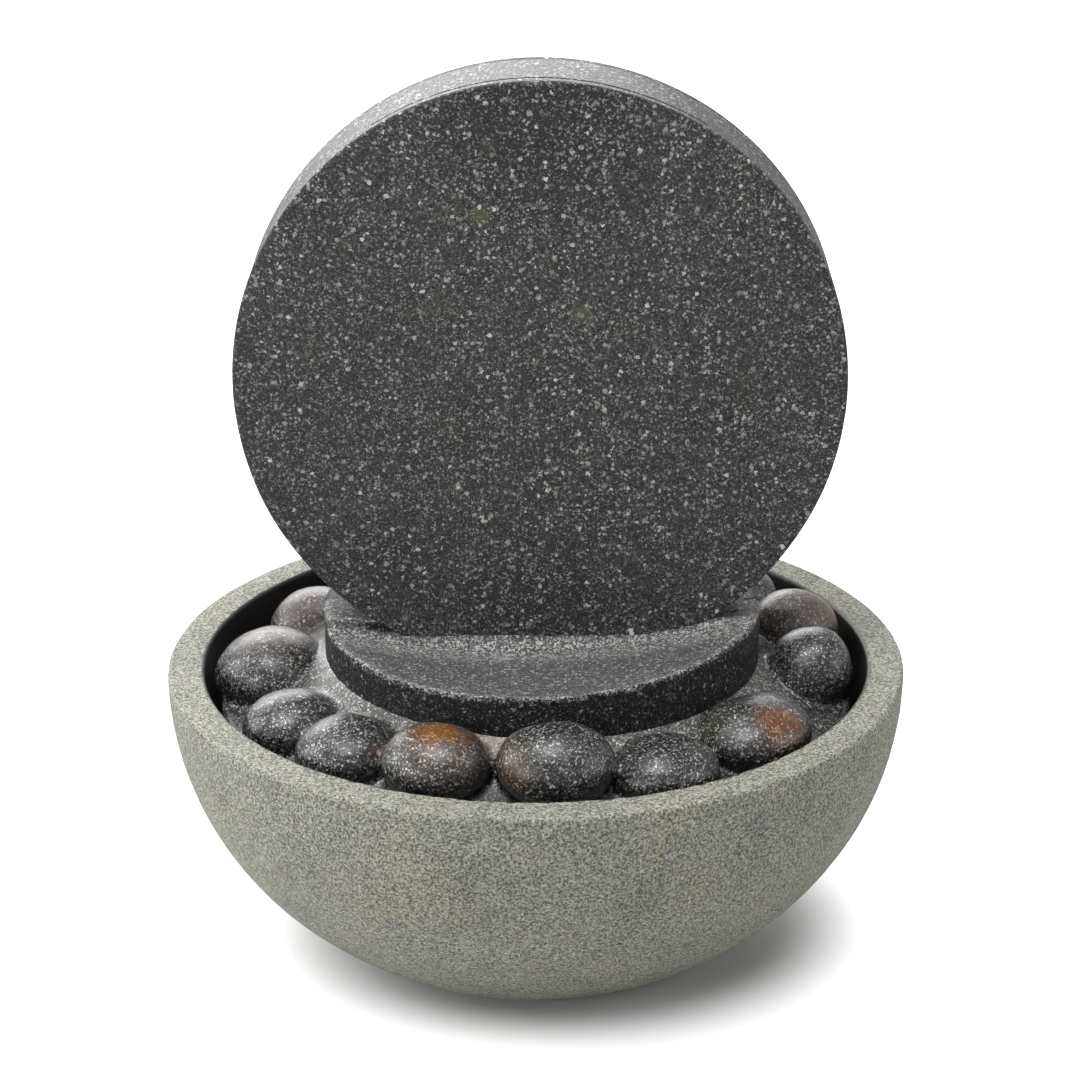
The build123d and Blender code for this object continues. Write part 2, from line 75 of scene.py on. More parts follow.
def add_node(tree, kind, inputs=None, **settings):
    """Adds one shader node. Each input is a value or another node's output."""
    made = tree.nodes.new(kind)
    for key, value in settings.items():
        setattr(made, key, value)
    for socket, value in (inputs or {}).items():
        if isinstance(value, bpy.types.NodeSocket):
            tree.links.new(value, made.inputs[socket])
        else:
            made.inputs[socket].default_value = value
    return made


def maths(tree, operation, first, second=0.0, third=0.0, clamp=False):
    """One Math node, and its result."""
    made = add_node(
        tree, "ShaderNodeMath", {0: first, 1: second, 2: third}, operation=operation
    )
    made.use_clamp = clamp
    return made.outputs[0]


def vector_maths(tree, operation, *values):
    """One Vector Math node, and its result: a vector, or a number where it measures."""
    made = add_node(
        tree, "ShaderNodeVectorMath", dict(enumerate(values)), operation=operation
    )
    measures = operation in ("DISTANCE", "DOT_PRODUCT", "LENGTH")
    return made.outputs["Value" if measures else "Vector"]


def new_finish(name):
    """An empty material, its node tree, and the place on a piece that its patterns read."""
    material = bpy.data.materials.new(name)
    material.use_nodes = True
    tree = material.node_tree
    tree.nodes.clear()
    return material, tree, add_node(tree, "ShaderNodeTexCoord").outputs["Object"]


room_light = 0.20
room_shine = 0.70
world = bpy.data.worlds.new("white_room")
bpy.context.scene.world = world
world.use_nodes = True
tree = world.node_tree
tree.nodes.clear()
ray = add_node(tree, "ShaderNodeLightPath")
in_gloss = ray.outputs["Is Glossy Ray"]
room_level = maths(tree, "MULTIPLY_ADD", in_gloss, room_shine - room_light, room_light)
room_level = maths(tree, "MAXIMUM", room_level, ray.outputs["Is Camera Ray"])
room = add_node(tree, "ShaderNodeBackground", {"Color": white, "Strength": room_level})
add_node(tree, "ShaderNodeOutputWorld", {"Surface": room.outputs[0]})

table_width = 8.0
table_grey = (0.66, 0.66, 0.66, 1.0)
table_lift = 0.85
shadow_centre = (8 * mm, 7 * mm, 0.0)
shadow_inside = 77 * mm
shadow_outside = 118 * mm
shadow_squeeze = (0.84, 1.0, 1.0)
bpy.ops.object.select_all(action="DESELECT")
bpy.ops.mesh.primitive_plane_add(size=table_width)
table_top = bpy.context.object
table_top.name = "table_top"
table_white, tree, where = new_finish("table_white")
matt = add_node(tree, "ShaderNodeBsdfDiffuse", {"Color": table_grey})
ray = add_node(tree, "ShaderNodeLightPath")
# Painted shadow: the glow fades out in a squeezed ring round the foot, offset from its middle.
squeezed = vector_maths(tree, "MULTIPLY", where, shadow_squeeze)
away = vector_maths(tree, "DISTANCE", squeezed, shadow_centre)
open_table = add_node(
    tree,
    "ShaderNodeMapRange",
    {0: away, 1: shadow_inside, 2: shadow_outside, 3: 0.0, 4: table_lift},
    interpolation_type="SMOOTHSTEP",
)
lift = maths(tree, "MULTIPLY", open_table.outputs[0], ray.outputs["Is Camera Ray"])
glow = add_node(tree, "ShaderNodeEmission", {"Color": white, "Strength": lift})
both = add_node(tree, "ShaderNodeAddShader", {0: matt.outputs[0], 1: glow.outputs[0]})
add_node(tree, "ShaderNodeOutputMaterial", {"Surface": both.outputs[0]})
table_top.data.materials.append(table_white)


def softbox(name, place, aim, width, height, watts):
    """A rectangular studio light that points at a spot, and isn't seen itself."""
    lamp = bpy.data.lights.new(name, "AREA")
    lamp.shape = "RECTANGLE"
    lamp.size = width
    lamp.size_y = height
    lamp.energy = watts
    holder = bpy.data.objects.new(name, lamp)
    bpy.context.scene.collection.objects.link(holder)
    direction = Vector(aim) - Vector(place)
    holder.matrix_world = Matrix.Translation(place) @ (
        direction.to_track_quat("-Z", "Y").to_matrix().to_4x4()
    )
    holder.visible_camera = False


softbox("softbox_above", (-0.15, -0.05, 1.9), (0.0, 0.0, 0.15), 1.4, 1.2, 17.0)
softbox("softbox_behind", (-0.55, 1.9, 1.05), (0.0, 0.0, 0.25), 2.1, 1.1, 40.0)
softbox("softbox_left", (-1.65, 0.15, 0.85), (0.0, 0.0, 0.10), 0.9, 1.1, 17.0)
softbox("softbox_right", (1.7, -0.45, 0.7), (0.0, 0.0, 0.10), 0.9, 1.1, 8.0)
softbox("softbox_key", (-0.98, -0.92, 0.42), (0.0, 0.0, 0.12), 0.24, 0.32, 5.0)
softbox("softbox_front", (-0.20, -0.54, 1.62), (0.0, -0.05, 0.16), 0.27, 0.25, 12.5)

# ---------------------------------------------------------------------------------------------
# Bowl: the round basin that holds the water, cast in stone-filled resin with fine sand in its
# face. It has a flat rim, a swelling side and a small foot, and its surface is left dull.
bowl_radius = 150 * mm
bowl_height = 125 * mm
foot_radius = 65 * mm
foot_height = 2 * mm
rim_width = 15 * mm
rim_round = 1.6 * mm
well_radius = 56 * mm
well_floor = 13 * mm
bowl_steps = 200
swell_size, swell_depth = 45 * mm, 0.5 * mm
sand_size, sand_depth = 5 * mm, 0.35 * mm
weld_distance = 0.01 * mm


def bent_line(start, first_pull, last_pull, end, count):
    """Points along a Bezier curve, its two ends included."""
    line = []
    for step in range(count + 1):
        t = step / count
        line.append(
            Vector(start) * (1 - t) ** 3
            + Vector(first_pull) * 3 * t * (1 - t) ** 2
            + Vector(last_pull) * 3 * t**2 * (1 - t)
            + Vector(end) * t**3
        )
    return line


def rounded_corner(centre, radius, first_angle, last_angle, count=4):
    """Points round a corner, from one angle to the other, in degrees."""
    corner = []
    for step in range(count + 1):
        angle = math.radians(first_angle + (last_angle - first_angle) * step / count)
        across = centre[0] + radius * math.cos(angle)
        corner.append(Vector((across, centre[1] + radius * math.sin(angle))))
    return corner


def straight_line(start, end, count):
    """Points between two ends, the first one left out."""
    first, last = Vector(start), Vector(end)
    return [first.lerp(last, step / count) for step in range(1, count + 1)]


def pick(piece):
    """Selects one piece and nothing else."""
    bpy.ops.object.select_all(action="DESELECT")
    piece.select_set(True)
    bpy.context.view_layer.objects.active = piece


def edit(piece):
    """Opens one piece for modelling, with nothing else selected."""
    pick(piece)
    bpy.ops.object.mode_set(mode="EDIT")
    bpy.ops.mesh.select_all(action="SELECT")


def close_edit():
    """Leaves edit mode."""
    bpy.ops.object.mode_set(mode="OBJECT")


def draw_line(name, points):
    """Draws a line by extruding one point after another, and leaves it open in edit mode."""
    bpy.ops.object.select_all(action="DESELECT")
    bpy.ops.mesh.primitive_plane_add(size=mm)
    piece = bpy.context.object
    piece.name = name
    piece.data.name = name
    edit(piece)
    bpy.ops.mesh.merge(type="CENTER")
    bpy.ops.transform.translate(value=points[0])
    for last, point in zip(points, points[1:]):
        bpy.ops.mesh.extrude_vertices_move(
            TRANSFORM_OT_translate={"value": point - last}
        )
    bpy.ops.mesh.select_all(action="SELECT")
    return piece


def turn_on_lathe(name, outline, steps, axis="Z", place=(0.0, 0.0, 0.0)):
    """Draws an outline of (radius, height) points, and spins it about the axis into a closed
    shape."""
    upright = axis == "Z"
    points = [
        Vector((p[0], 0.0, p[1])) if upright else Vector((p[0], p[1], 0.0))
        for p in outline
    ]
    piece = draw_line(name, points)
    bpy.ops.mesh.spin(
        steps=steps,
        angle=math.tau,
        center=(0.0, 0.0, 0.0),
        axis=(0.0, 0.0, 1.0) if upright else (0.0, 1.0, 0.0),
    )
    bpy.ops.mesh.select_all(action="SELECT")
    bpy.ops.mesh.remove_doubles(threshold=weld_distance)
    bpy.ops.mesh.normals_make_consistent(inside=False)
    bpy.ops.transform.translate(value=place)
    close_edit()
    return piece


def finish_with(piece, kind, **settings):
    """Adds a modifier and applies it."""
    pick(piece)
    modifier = piece.modifiers.new(kind.lower(), kind)
    for key, value in settings.items():
        setattr(modifier, key, value)
    bpy.ops.object.modifier_apply(modifier=modifier.name)


def roughen(piece, grain, depth, detail=2):
    """Gives a surface the slight unevenness of a casting, as real relief."""
    lumps = bpy.data.textures.new(piece.name + "_relief", "CLOUDS")
    lumps.noise_scale = grain
    lumps.noise_depth = detail
    finish_with(
        piece,
        "DISPLACE",
        texture=lumps,
        strength=depth,
        mid_level=0.5,
        texture_coords="LOCAL",
    )


def shade_smooth(piece, angle=40.0):
    """Smooth shading, kept sharp past an angle."""
    pick(piece)
    bpy.ops.object.shade_smooth_by_angle(angle=math.radians(angle))


def masked_mix(tree, mask, under, over):
    """The under colour, covered by the over colour where the mask is 1."""
    mixed = add_node(
        tree, "ShaderNodeMix", {"Factor": mask, 6: under, 7: over}, data_type="RGBA"
    )
    return mixed.outputs[2]


def cloudiness(tree, where, scale, detail=3.0, roughness=0.55):
    """Soft noise from 0 to 1."""
    made = add_node(
        tree,
        "ShaderNodeTexNoise",
        {"Vector": where, "Scale": scale, "Detail": detail, "Roughness": roughness},
    )
    return made.outputs[0]


def stretched(tree, value, low, high, to_low=0.0, to_high=1.0):
    """Stretches a value from one range to another, smoothly."""
    made = add_node(
        tree,
        "ShaderNodeMapRange",
        {0: value, 1: low, 2: high, 3: to_low, 4: to_high},
        interpolation_type="SMOOTHSTEP",
    )
    return made.outputs[0]


def flecks(tree, where, cell, size, evenness, softness):
    """Grains of stone: a mask, and a random tone for each grain. The cell is their spacing
    in metres, the size is a share of it, and evenness 0 gives grains all of that size."""
    grains = add_node(
        tree,
        "ShaderNodeTexVoronoi",
        {"Vector": where, "Scale": 1.0 / cell, "Randomness": 1.0},
    )
    chance = add_node(tree, "ShaderNodeSeparateColor", {0: grains.outputs["Color"]})
    reach = maths(tree, "POWER", chance.outputs[0], evenness)
    reach = maths(tree, "MULTIPLY", reach, size)
    inside = maths(tree, "SUBTRACT", reach, grains.outputs["Distance"])
    mask = maths(tree, "MULTIPLY", inside, 1.0 / softness, clamp=True)
    return mask, chance.outputs[1]


def broken_up(tree, where, scale, amount):
    """Shifts the place a pattern is read at by a little noise, so that its grains have
    uneven outlines."""
    noise = add_node(
        tree, "ShaderNodeTexNoise", {"Vector": where, "Scale": scale, "Detail": 1.0}
    )
    centred = vector_maths(tree, "SUBTRACT", noise.outputs["Color"], (0.5, 0.5, 0.5))
    return vector_maths(tree, "MULTIPLY_ADD", centred, (amount, amount, amount), where)


def near_spot(tree, where, spot, reach):
    """1 at a spot on the piece, falling to 0 at its reach, with a cloudy edge."""
    ragged = vector_maths(tree, "DISTANCE", where, tuple(v * mm for v in spot))
    for broad_or_fine in (190.0, 1300.0):
        cloud = maths(tree, "SUBTRACT", cloudiness(tree, where, broad_or_fine), 0.5)
        ragged = maths(tree, "MULTIPLY_ADD", cloud, reach * 0.9 * mm, ragged)
    return stretched(tree, ragged, reach * 0.30 * mm, reach * mm, 1.0, 0.0)


def near_line(tree, where, start, end, width):
    """1 along a thin line between two points on the piece, 0 beside it."""
    first, last = (Vector(v) * mm for v in (start, end))
    run = last - first
    offset = vector_maths(tree, "SUBTRACT", where, tuple(first))
    share = vector_maths(tree, "DOT_PRODUCT", offset, tuple(run / run.length_squared))
    share = maths(tree, "MULTIPLY", share, 1.0, clamp=True)
    nearest = vector_maths(tree, "MULTIPLY_ADD", tuple(-run), share, offset)
    away = vector_maths(tree, "LENGTH", nearest)
    return stretched(tree, away, width * 0.35 * mm, width * 0.65 * mm, 1.0, 0.0)


def tinted(tree, mask, under, tint):
    """Multiplies a colour by a tint where the mask is 1."""
    made = add_node(
        tree,
        "ShaderNodeMix",
        {"Factor": mask, 6: under, 7: (*tint, 1.0)},
        data_type="RGBA",
        blend_type="MULTIPLY",
    )
    return made.outputs[2]


def marked_on(tree, name):
    """The value that a piece keeps at its points under this name."""
    return add_node(tree, "ShaderNodeAttribute", attribute_name=name).outputs["Fac"]


def skin(tree, inputs, height, strength, depth):
    """Ends a material in its shader, with relief too fine for the mesh."""
    bump = add_node(
        tree,
        "ShaderNodeBump",
        {"Height": height, "Strength": strength, "Distance": depth},
    )
    shader = add_node(
        tree, "ShaderNodeBsdfPrincipled", {**inputs, "Normal": bump.outputs[0]}
    )
    add_node(tree, "ShaderNodeOutputMaterial", {"Surface": shader.outputs[0]})


def stone_finish(
    name,
    ground,
    grain,
    layers,
    gloss,
    relief,
    tints=(),
    stains_and_painted_shade=(),
    pits=None,
    lightened=None,
    painted_highlight=None,
    marks=(),
):
    """Cast stone: a grained ground colour, tinted patches, local stains and spots of painted
    shade, then layers of mineral grains, pits and marks. The grain is (size mm, low, high), a
    tint (size mm, low, high, tint), a layer (cell mm, size, evenness, softness, colour, tone
    spread, cover), each stain and each spot of painted shade (spot, reach mm, colour,
    strength), the pits (cell mm, size, evenness), a mark (start, end, width mm, colour), and
    the gloss (low and high roughness, mirror level). Lightened names the piece's attribute for
    worn places, with their two colours and grain colour, and the painted highlight entry names
    the attribute for places where extra bright grains paint a highlight, with their colour."""
    material, tree, where = new_finish(name)
    uneven = broken_up(tree, where, 900.0, 2.1 * mm)
    dark, light = ground
    grit = cloudiness(tree, where, 1000.0 / grain[0], 4.0, 0.72)
    blend = stretched(tree, grit, grain[1], grain[2])
    colour = masked_mix(tree, blend, (*dark, 1.0), (*light, 1.0))
    for index, (patch, low, high, tint) in enumerate(tints):
        shift = (0.19 * index, 0.41 * index, 0.07 * index)
        shifted = vector_maths(tree, "ADD", where, shift)
        cloud = cloudiness(tree, shifted, 1000.0 / patch, 4.0, 0.6)
        colour = tinted(tree, stretched(tree, cloud, low, high), colour, tint)
    if lightened:
        attribute, worn_dark, worn_light, worn_grain = lightened
        marked = maths(tree, "SUBTRACT", marked_on(tree, attribute), 0.25)
        ragged = maths(tree, "MULTIPLY_ADD", grit, 0.5, marked)
        marked = maths(tree, "MULTIPLY", stretched(tree, ragged, 0.2, 0.8), 0.92)
        paler = masked_mix(tree, blend, (*worn_dark, 1.0), (*worn_light, 1.0))
        grains, tone = flecks(tree, uneven, 1.40 * mm, 0.48, 0.6, 0.06)
        strength = maths(tree, "MULTIPLY_ADD", tone, 0.8, 0.2)
        grains = maths(tree, "MULTIPLY", grains, strength)
        paler = masked_mix(tree, grains, paler, (*worn_grain, 1.0))
        colour = masked_mix(tree, marked, colour, paler)
    warmth = white
    # Stains are the stone's own colour; the spots of painted shade among them darken places
    # that the lamps leave too bright.
    for spot, reach, spot_colour, strength in stains_and_painted_shade:
        mask = near_spot(tree, where, spot, reach)
        mask = maths(tree, "MULTIPLY", mask, strength)
        colour = masked_mix(tree, mask, colour, (*spot_colour, 1.0))
        glint = tuple((c / max(spot_colour)) ** 0.6 for c in spot_colour)
        warmth = masked_mix(tree, mask, warmth, (*glint, 1.0))
    raised = maths(tree, "MULTIPLY", grit, 0.8)
    sparks = None
    for index, layer in enumerate(layers):
        cell, size, evenness, softness, mineral, spread, cover = layer
        shift = (0.37 * index, 0.11 * index, 0.23 * index)
        shifted = vector_maths(tree, "ADD", uneven, shift)
        mask, tone = flecks(tree, shifted, cell * mm, size, evenness, softness)
        strength = maths(tree, "MULTIPLY_ADD", tone, spread, 1.0 - spread)
        drift = stretched(tree, cloudiness(tree, shifted, 60.0, 3.0), 0.3, 0.7, *cover)
        mask = maths(tree, "MULTIPLY", mask, strength)
        mask = maths(tree, "MULTIPLY", mask, drift, clamp=True)
        grain_colour = (*mineral, 1.0)
        if stains_and_painted_shade:
            grain_colour = tinted(tree, 1.0, warmth, mineral)
        colour = masked_mix(tree, mask, colour, grain_colour)
        raised = maths(tree, "MULTIPLY_ADD", mask, 0.6, raised)
        sparks = maths(tree, "MAXIMUM", mask, sparks) if sparks else mask
    # Painted highlight: extra bright grains where the piece's attribute marks a highlight.
    if painted_highlight:
        attribute, bright = painted_highlight
        marked = marked_on(tree, attribute)
        for cell, shift in ((0.9, 0.51), (1.5, 0.83)):
            shifted = vector_maths(
                tree, "ADD", uneven, (shift, 0.3 * shift, 0.7 * shift)
            )
            mask, tone = flecks(tree, shifted, cell * mm, 0.50, 0.4, 0.07)
            strength = maths(tree, "MULTIPLY_ADD", tone, 0.6, 0.4)
            mask = maths(tree, "MULTIPLY", mask, strength)
            mask = maths(tree, "MULTIPLY", mask, marked, clamp=True)
            colour = masked_mix(tree, mask, colour, (*bright, 1.0))
            sparks = maths(tree, "MAXIMUM", mask, sparks)
    if pits:
        cell, size, evenness = pits
        mask = flecks(tree, uneven, cell * mm, size, evenness, 0.02)[0]
        mask = maths(tree, "MULTIPLY", mask, 0.85)
        colour = masked_mix(tree, mask, colour, (*(c * 0.25 for c in dark), 1.0))
        raised = maths(tree, "MULTIPLY_ADD", mask, -2.5, raised)
    shine = maths(tree, "MULTIPLY_ADD", grit, gloss[1] - gloss[0], gloss[0])
    shine = maths(tree, "MULTIPLY_ADD", sparks, -0.35 * gloss[0], shine)
    mirror = maths(tree, "MULTIPLY_ADD", sparks, 1.4 * gloss[2], gloss[2])
    for start, end, width, mark_colour in marks:
        mask = near_line(tree, uneven, start, end, width)
        mask = maths(tree, "MULTIPLY", mask, 0.9)
        colour = masked_mix(tree, mask, colour, (*mark_colour, 1.0))
        raised = maths(tree, "MULTIPLY_ADD", mask, -2.0, raised)
        mirror = maths(tree, "MULTIPLY", mirror, maths(tree, "SUBTRACT", 1.0, mask))
    inputs = {"Base Color": colour, "Roughness": shine, "Specular IOR Level": mirror}
    skin(tree, inputs, raised, 1.0, relief * mm)
    return material


side_reach = bowl_radius - foot_radius
side_rise = bowl_height - foot_height
well_reach = bowl_radius - rim_width - well_radius
well_rise = bowl_height - well_floor
bowl_outline = [(0.0, foot_height)]
bowl_outline += straight_line((0.0, foot_height), (foot_radius, foot_height), 8)
bowl_outline += bent_line(
    (foot_radius, foot_height),
    (foot_radius + 0.506 * side_reach, foot_height + 0.144 * side_rise),
    (bowl_radius, bowl_height - 0.51 * side_rise),
    (bowl_radius, bowl_height - rim_round),
    34,
)[1:]
bowl_outline += rounded_corner(
    (bowl_radius - rim_round, bowl_height - rim_round), rim_round, 0, 90
)[1:]
bowl_outline += straight_line(
    (bowl_radius - rim_round, bowl_height),
    (bowl_radius - rim_width + rim_round, bowl_height),
    5,
)
bowl_outline += rounded_corner(
    (bowl_radius - rim_width + rim_round, bowl_height - rim_round), rim_round, 90, 180
)[1:]
bowl_outline += bent_line(
    (bowl_radius - rim_width, bowl_height - rim_round),
    (bowl_radius - rim_width, bowl_height - 0.52 * well_rise),
    (well_radius + 0.5 * well_reach, well_floor + 0.12 * well_rise),
    (well_radius, well_floor),
    26,
)[1:]
bowl_outline += straight_line((well_radius, well_floor), (0.0, well_floor), 7)
bowl = turn_on_lathe("cast_bowl", bowl_outline, bowl_steps)
finish_with(bowl, "SUBSURF", levels=1, render_levels=1)
roughen(bowl, swell_size, swell_depth)
roughen(bowl, sand_size, sand_depth, 3)
shade_smooth(bowl, 60.0)
bowl_finish = stone_finish(
    "bowl_stone_finish",
    ground=((0.062, 0.063, 0.054), (0.50, 0.495, 0.425)),
    grain=(0.95, 0.36, 0.68),
    layers=[
        (0.85, 0.46, 0.6, 0.08, (0.055, 0.057, 0.053), 0.8, (0.3, 1.0)),
        (1.10, 0.45, 0.6, 0.07, (0.62, 0.615, 0.545), 0.8, (0.3, 1.0)),
        (2.6, 0.28, 0.9, 0.05, (0.56, 0.55, 0.44), 0.6, (0.0, 0.8)),
    ],
    gloss=(0.62, 0.85, 0.28),
    relief=0.30,
    tints=(
        (14.0, 0.54, 0.70, (1.03, 1.03, 0.90)),
        (22.0, 0.50, 0.68, (0.84, 0.84, 0.88)),
        (60.0, 0.50, 0.68, (1.08, 1.06, 1.0)),
    ),
    pits=(24.0, 0.06, 3.0),
    marks=(
        ((129.6, 64.0, 125.0), (131.2, 63.3, 125.0), 1.0, (0.03, 0.03, 0.028)),
        ((132.8, 61.6, 125.0), (133.5, 61.2, 125.0), 0.9, (0.03, 0.03, 0.028)),
        ((94.0, -88.5, 54.6), (94.9, -87.6, 53.6), 1.3, (0.025, 0.025, 0.023)),
        ((32.0, -130.3, 62.8), (33.4, -129.9, 62.2), 1.1, (0.025, 0.025, 0.023)),
    ),
)
# The whole inside of the bowl, and the lugs bonded there, take this near-black finish.
dark_inside_finish = stone_finish(
    "bowl_dark_inside_finish",
    ground=((0.004, 0.0035, 0.003), (0.012, 0.010, 0.009)),
    grain=(1.6, 0.35, 0.70),
    layers=[(2.2, 0.34, 1.0, 0.08, (0.030, 0.026, 0.022), 0.8, (0.1, 0.9))],
    gloss=(0.42, 0.62, 0.4),
    relief=0.25,
)
bowl.data.materials.append(bowl_finish)
bowl.data.materials.append(dark_inside_finish)
edit(bowl)
bpy.ops.mesh.select_all(action="DESELECT")
close_edit()
for face in bowl.data.polygons:
    middle = face.center
    out = Vector((middle.x, middle.y, 0.0))
    inward = out.length > mm and face.normal.dot(out.normalized()) < -0.1
    floor = out.length < well_radius + 20 * mm and face.normal.z > 0.5
    face.select = inward or floor
bpy.ops.object.mode_set(mode="EDIT")
bowl.active_material_index = 1
bpy.ops.object.material_slot_assign()
close_edit()
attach(bowl, "basin")
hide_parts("bowl")

# ---------------------------------------------------------------------------------------------
# Foot pad and lugs: a thin rubber disc is stuck under the bowl's foot. Four blocks are bonded
# inside its wall, near-black like the rest of the inside, and carry the insert on rubber pads.
rubber_nodes = (
    "base_pad",
    "support_pads",
    "pump_cord_gland",
    "pump_suction_cups",
    "shaft_bushes",
)


def dress(node, finish):
    """Gives a part from the frame a finish in place of its plain one."""
    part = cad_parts[node]
    part.data.materials.clear()
    part.data.materials.append(finish)


def soft_finish(name, ground, bloom, gloss, grain, relief, dust):
    """Rubber or moulded plastic: a fine eroded grain, a cloudy bloom and a little dust. The
    gloss is low and high roughness and the mirror level, grain and relief are in mm."""
    material, tree, where = new_finish(name)
    cloud = stretched(tree, cloudiness(tree, where, 60.0, 5.0, 0.6), 0.35, 0.7)
    sparks = cloudiness(tree, where, 1000.0 / grain, 2.0, 0.6)
    film = maths(tree, "MULTIPLY_ADD", sparks, 0.35, maths(tree, "MULTIPLY", cloud, 0.65))
    colour = masked_mix(tree, film, (*ground, 1.0), (*bloom, 1.0))
    specks = flecks(tree, where, 2.3 * mm, 0.24, 2.0, 0.05)[0]
    specks = maths(tree, "MULTIPLY", specks, dust)
    colour = masked_mix(tree, specks, colour, (0.30, 0.29, 0.26, 1.0))
    shine = maths(tree, "MULTIPLY_ADD", film, gloss[1] - gloss[0], gloss[0])
    inputs = {"Base Color": colour, "Roughness": shine, "Specular IOR Level": gloss[2]}
    skin(tree, inputs, sparks, 0.6, relief * mm)
    return material


dress("support_lugs", dark_inside_finish)
rubber_finish = soft_finish(
    "black_rubber_finish", (0.018, 0.018, 0.019), (0.045, 0.044, 0.042),
    gloss=(0.55, 0.8, 0.35), grain=0.7, relief=0.12, dust=0.5,
)
for node in rubber_nodes:
    dress(node, rubber_finish)

# ---------------------------------------------------------------------------------------------
# Pump: a small submersible pump on four suction cups. Its casings are moulded in dark plastic
# with an eroded grain, and it is filled with resin, so only its front comes off for cleaning.
casing_nodes = ("pump_body", "pump_volute", "pump_inlet_cover")
casing_finish = soft_finish(
    "pump_casing_finish", (0.020, 0.021, 0.024), (0.042, 0.043, 0.046),
    gloss=(0.38, 0.58, 0.5), grain=0.45, relief=0.10, dust=0.35,
)
for node in casing_nodes:
    dress(node, casing_finish)

# ---------------------------------------------------------------------------------------------
# Small grey mouldings: the outlet adapter, the flow gate and the water spreader, in hard grey
# plastic with a satin skin.
grey_nodes = ("outlet_adapter", "flow_gate", "spreader_trough")
grey_finish = soft_finish(
    "grey_moulding_finish", (0.16, 0.165, 0.17), (0.22, 0.225, 0.23),
    gloss=(0.32, 0.50, 0.5), grain=0.5, relief=0.06, dust=0.25,
)
for node in grey_nodes:
    dress(node, grey_finish)

# ---------------------------------------------------------------------------------------------
# Impeller: white acetal vanes on a ring magnet of pressed ferrite, turning on a ground ceramic
# shaft that stands in two rubber bushes.
impeller_finish = soft_finish(
    "white_impeller_finish", (0.62, 0.62, 0.59), (0.74, 0.74, 0.71),
    gloss=(0.28, 0.44, 0.5), grain=0.5, relief=0.05, dust=0.3,
)
dress("impeller", impeller_finish)
ceramic_finish = soft_finish(
    "ceramic_shaft_finish", (0.78, 0.77, 0.72), (0.86, 0.85, 0.80),
    gloss=(0.12, 0.22, 0.6), grain=0.25, relief=0.02, dust=0.1,
)
dress("impeller_shaft", ceramic_finish)
ferrite_finish = soft_finish(
    "ferrite_magnet_finish", (0.045, 0.045, 0.048), (0.085, 0.085, 0.088),
    gloss=(0.30, 0.48, 0.6), grain=0.35, relief=0.06, dust=0.15,
)
dress("impeller_magnet", ferrite_finish)

# ---------------------------------------------------------------------------------------------
# Intake filter: a slab of open-cell foam, cut to size and pushed into the inlet cover, where it
# keeps grit out of the impeller.
foam_cell = 1.6 * mm
foam_share = 0.985
foam_edge = 0.9 * mm
foam_grid = 0.55 * mm
cell_depth = 0.55 * mm
foam_low, foam_high = (Vector(corner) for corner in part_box("intake_filter"))
bpy.ops.object.select_all(action="DESELECT")
bpy.ops.mesh.primitive_cube_add(size=1.0)
foam = bpy.context.object
foam.name = "intake_foam"
foam.data.name = "intake_foam"
edit(foam)
bpy.ops.transform.resize(value=(foam_high - foam_low) * foam_share)
bpy.ops.transform.translate(value=(foam_high + foam_low) / 2)
bpy.ops.mesh.bevel(offset=foam_edge, segments=3, affect="EDGES")
close_edit()
finish_with(foam, "REMESH", mode="VOXEL", voxel_size=foam_grid)
cells = bpy.data.textures.new("foam_cells", "VORONOI")
cells.noise_scale = foam_cell
cells.distance_metric = "DISTANCE"
finish_with(
    foam,
    "DISPLACE",
    texture=cells,
    strength=cell_depth,
    mid_level=0.75,
    texture_coords="LOCAL",
)
shade_smooth(foam, 75.0)
foam_finish = soft_finish(
    "filter_foam_finish", (0.020, 0.020, 0.021), (0.060, 0.060, 0.062),
    gloss=(0.80, 0.95, 0.2), grain=1.1, relief=0.4, dust=0.2,
)
foam.data.materials.append(foam_finish)
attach(foam, "pump_cover")
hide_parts("intake_filter")

# ---------------------------------------------------------------------------------------------
# Pebble casting: the ring of the lift-out insert, cast in one with its fifteen pebbles, the
# webs between them and the bank that rises to the pedestal. The pebbles are worn darker and
# smoother than the bowl, and some are stained brown, rust or pink. A dark spot on the web at
# the left is painted shade.
tray_bottom = 105 * mm
tray_top = 110.5 * mm
tray_radius = 129 * mm
tray_round = 1.5 * mm
ring_inside = 80 * mm
ring_steps = 160
bank_foot = 124 * mm
bank_rise = 20 * mm
plate_radius = 82 * mm
plate_middle = 42 * mm
hole_radius = 9.55 * mm
overshoot = 5 * mm
drum_radius = 88.5 * mm
column_place = Vector((2.6 * mm, 0.0, 0.0))
lump_size, lump_depth = 30 * mm, 3.2 * mm
casting_grid = 1.3 * mm
ripple_size, ripple_depth = 7 * mm, 0.5 * mm
web_low, web_climb = 2 * mm, 13 * mm
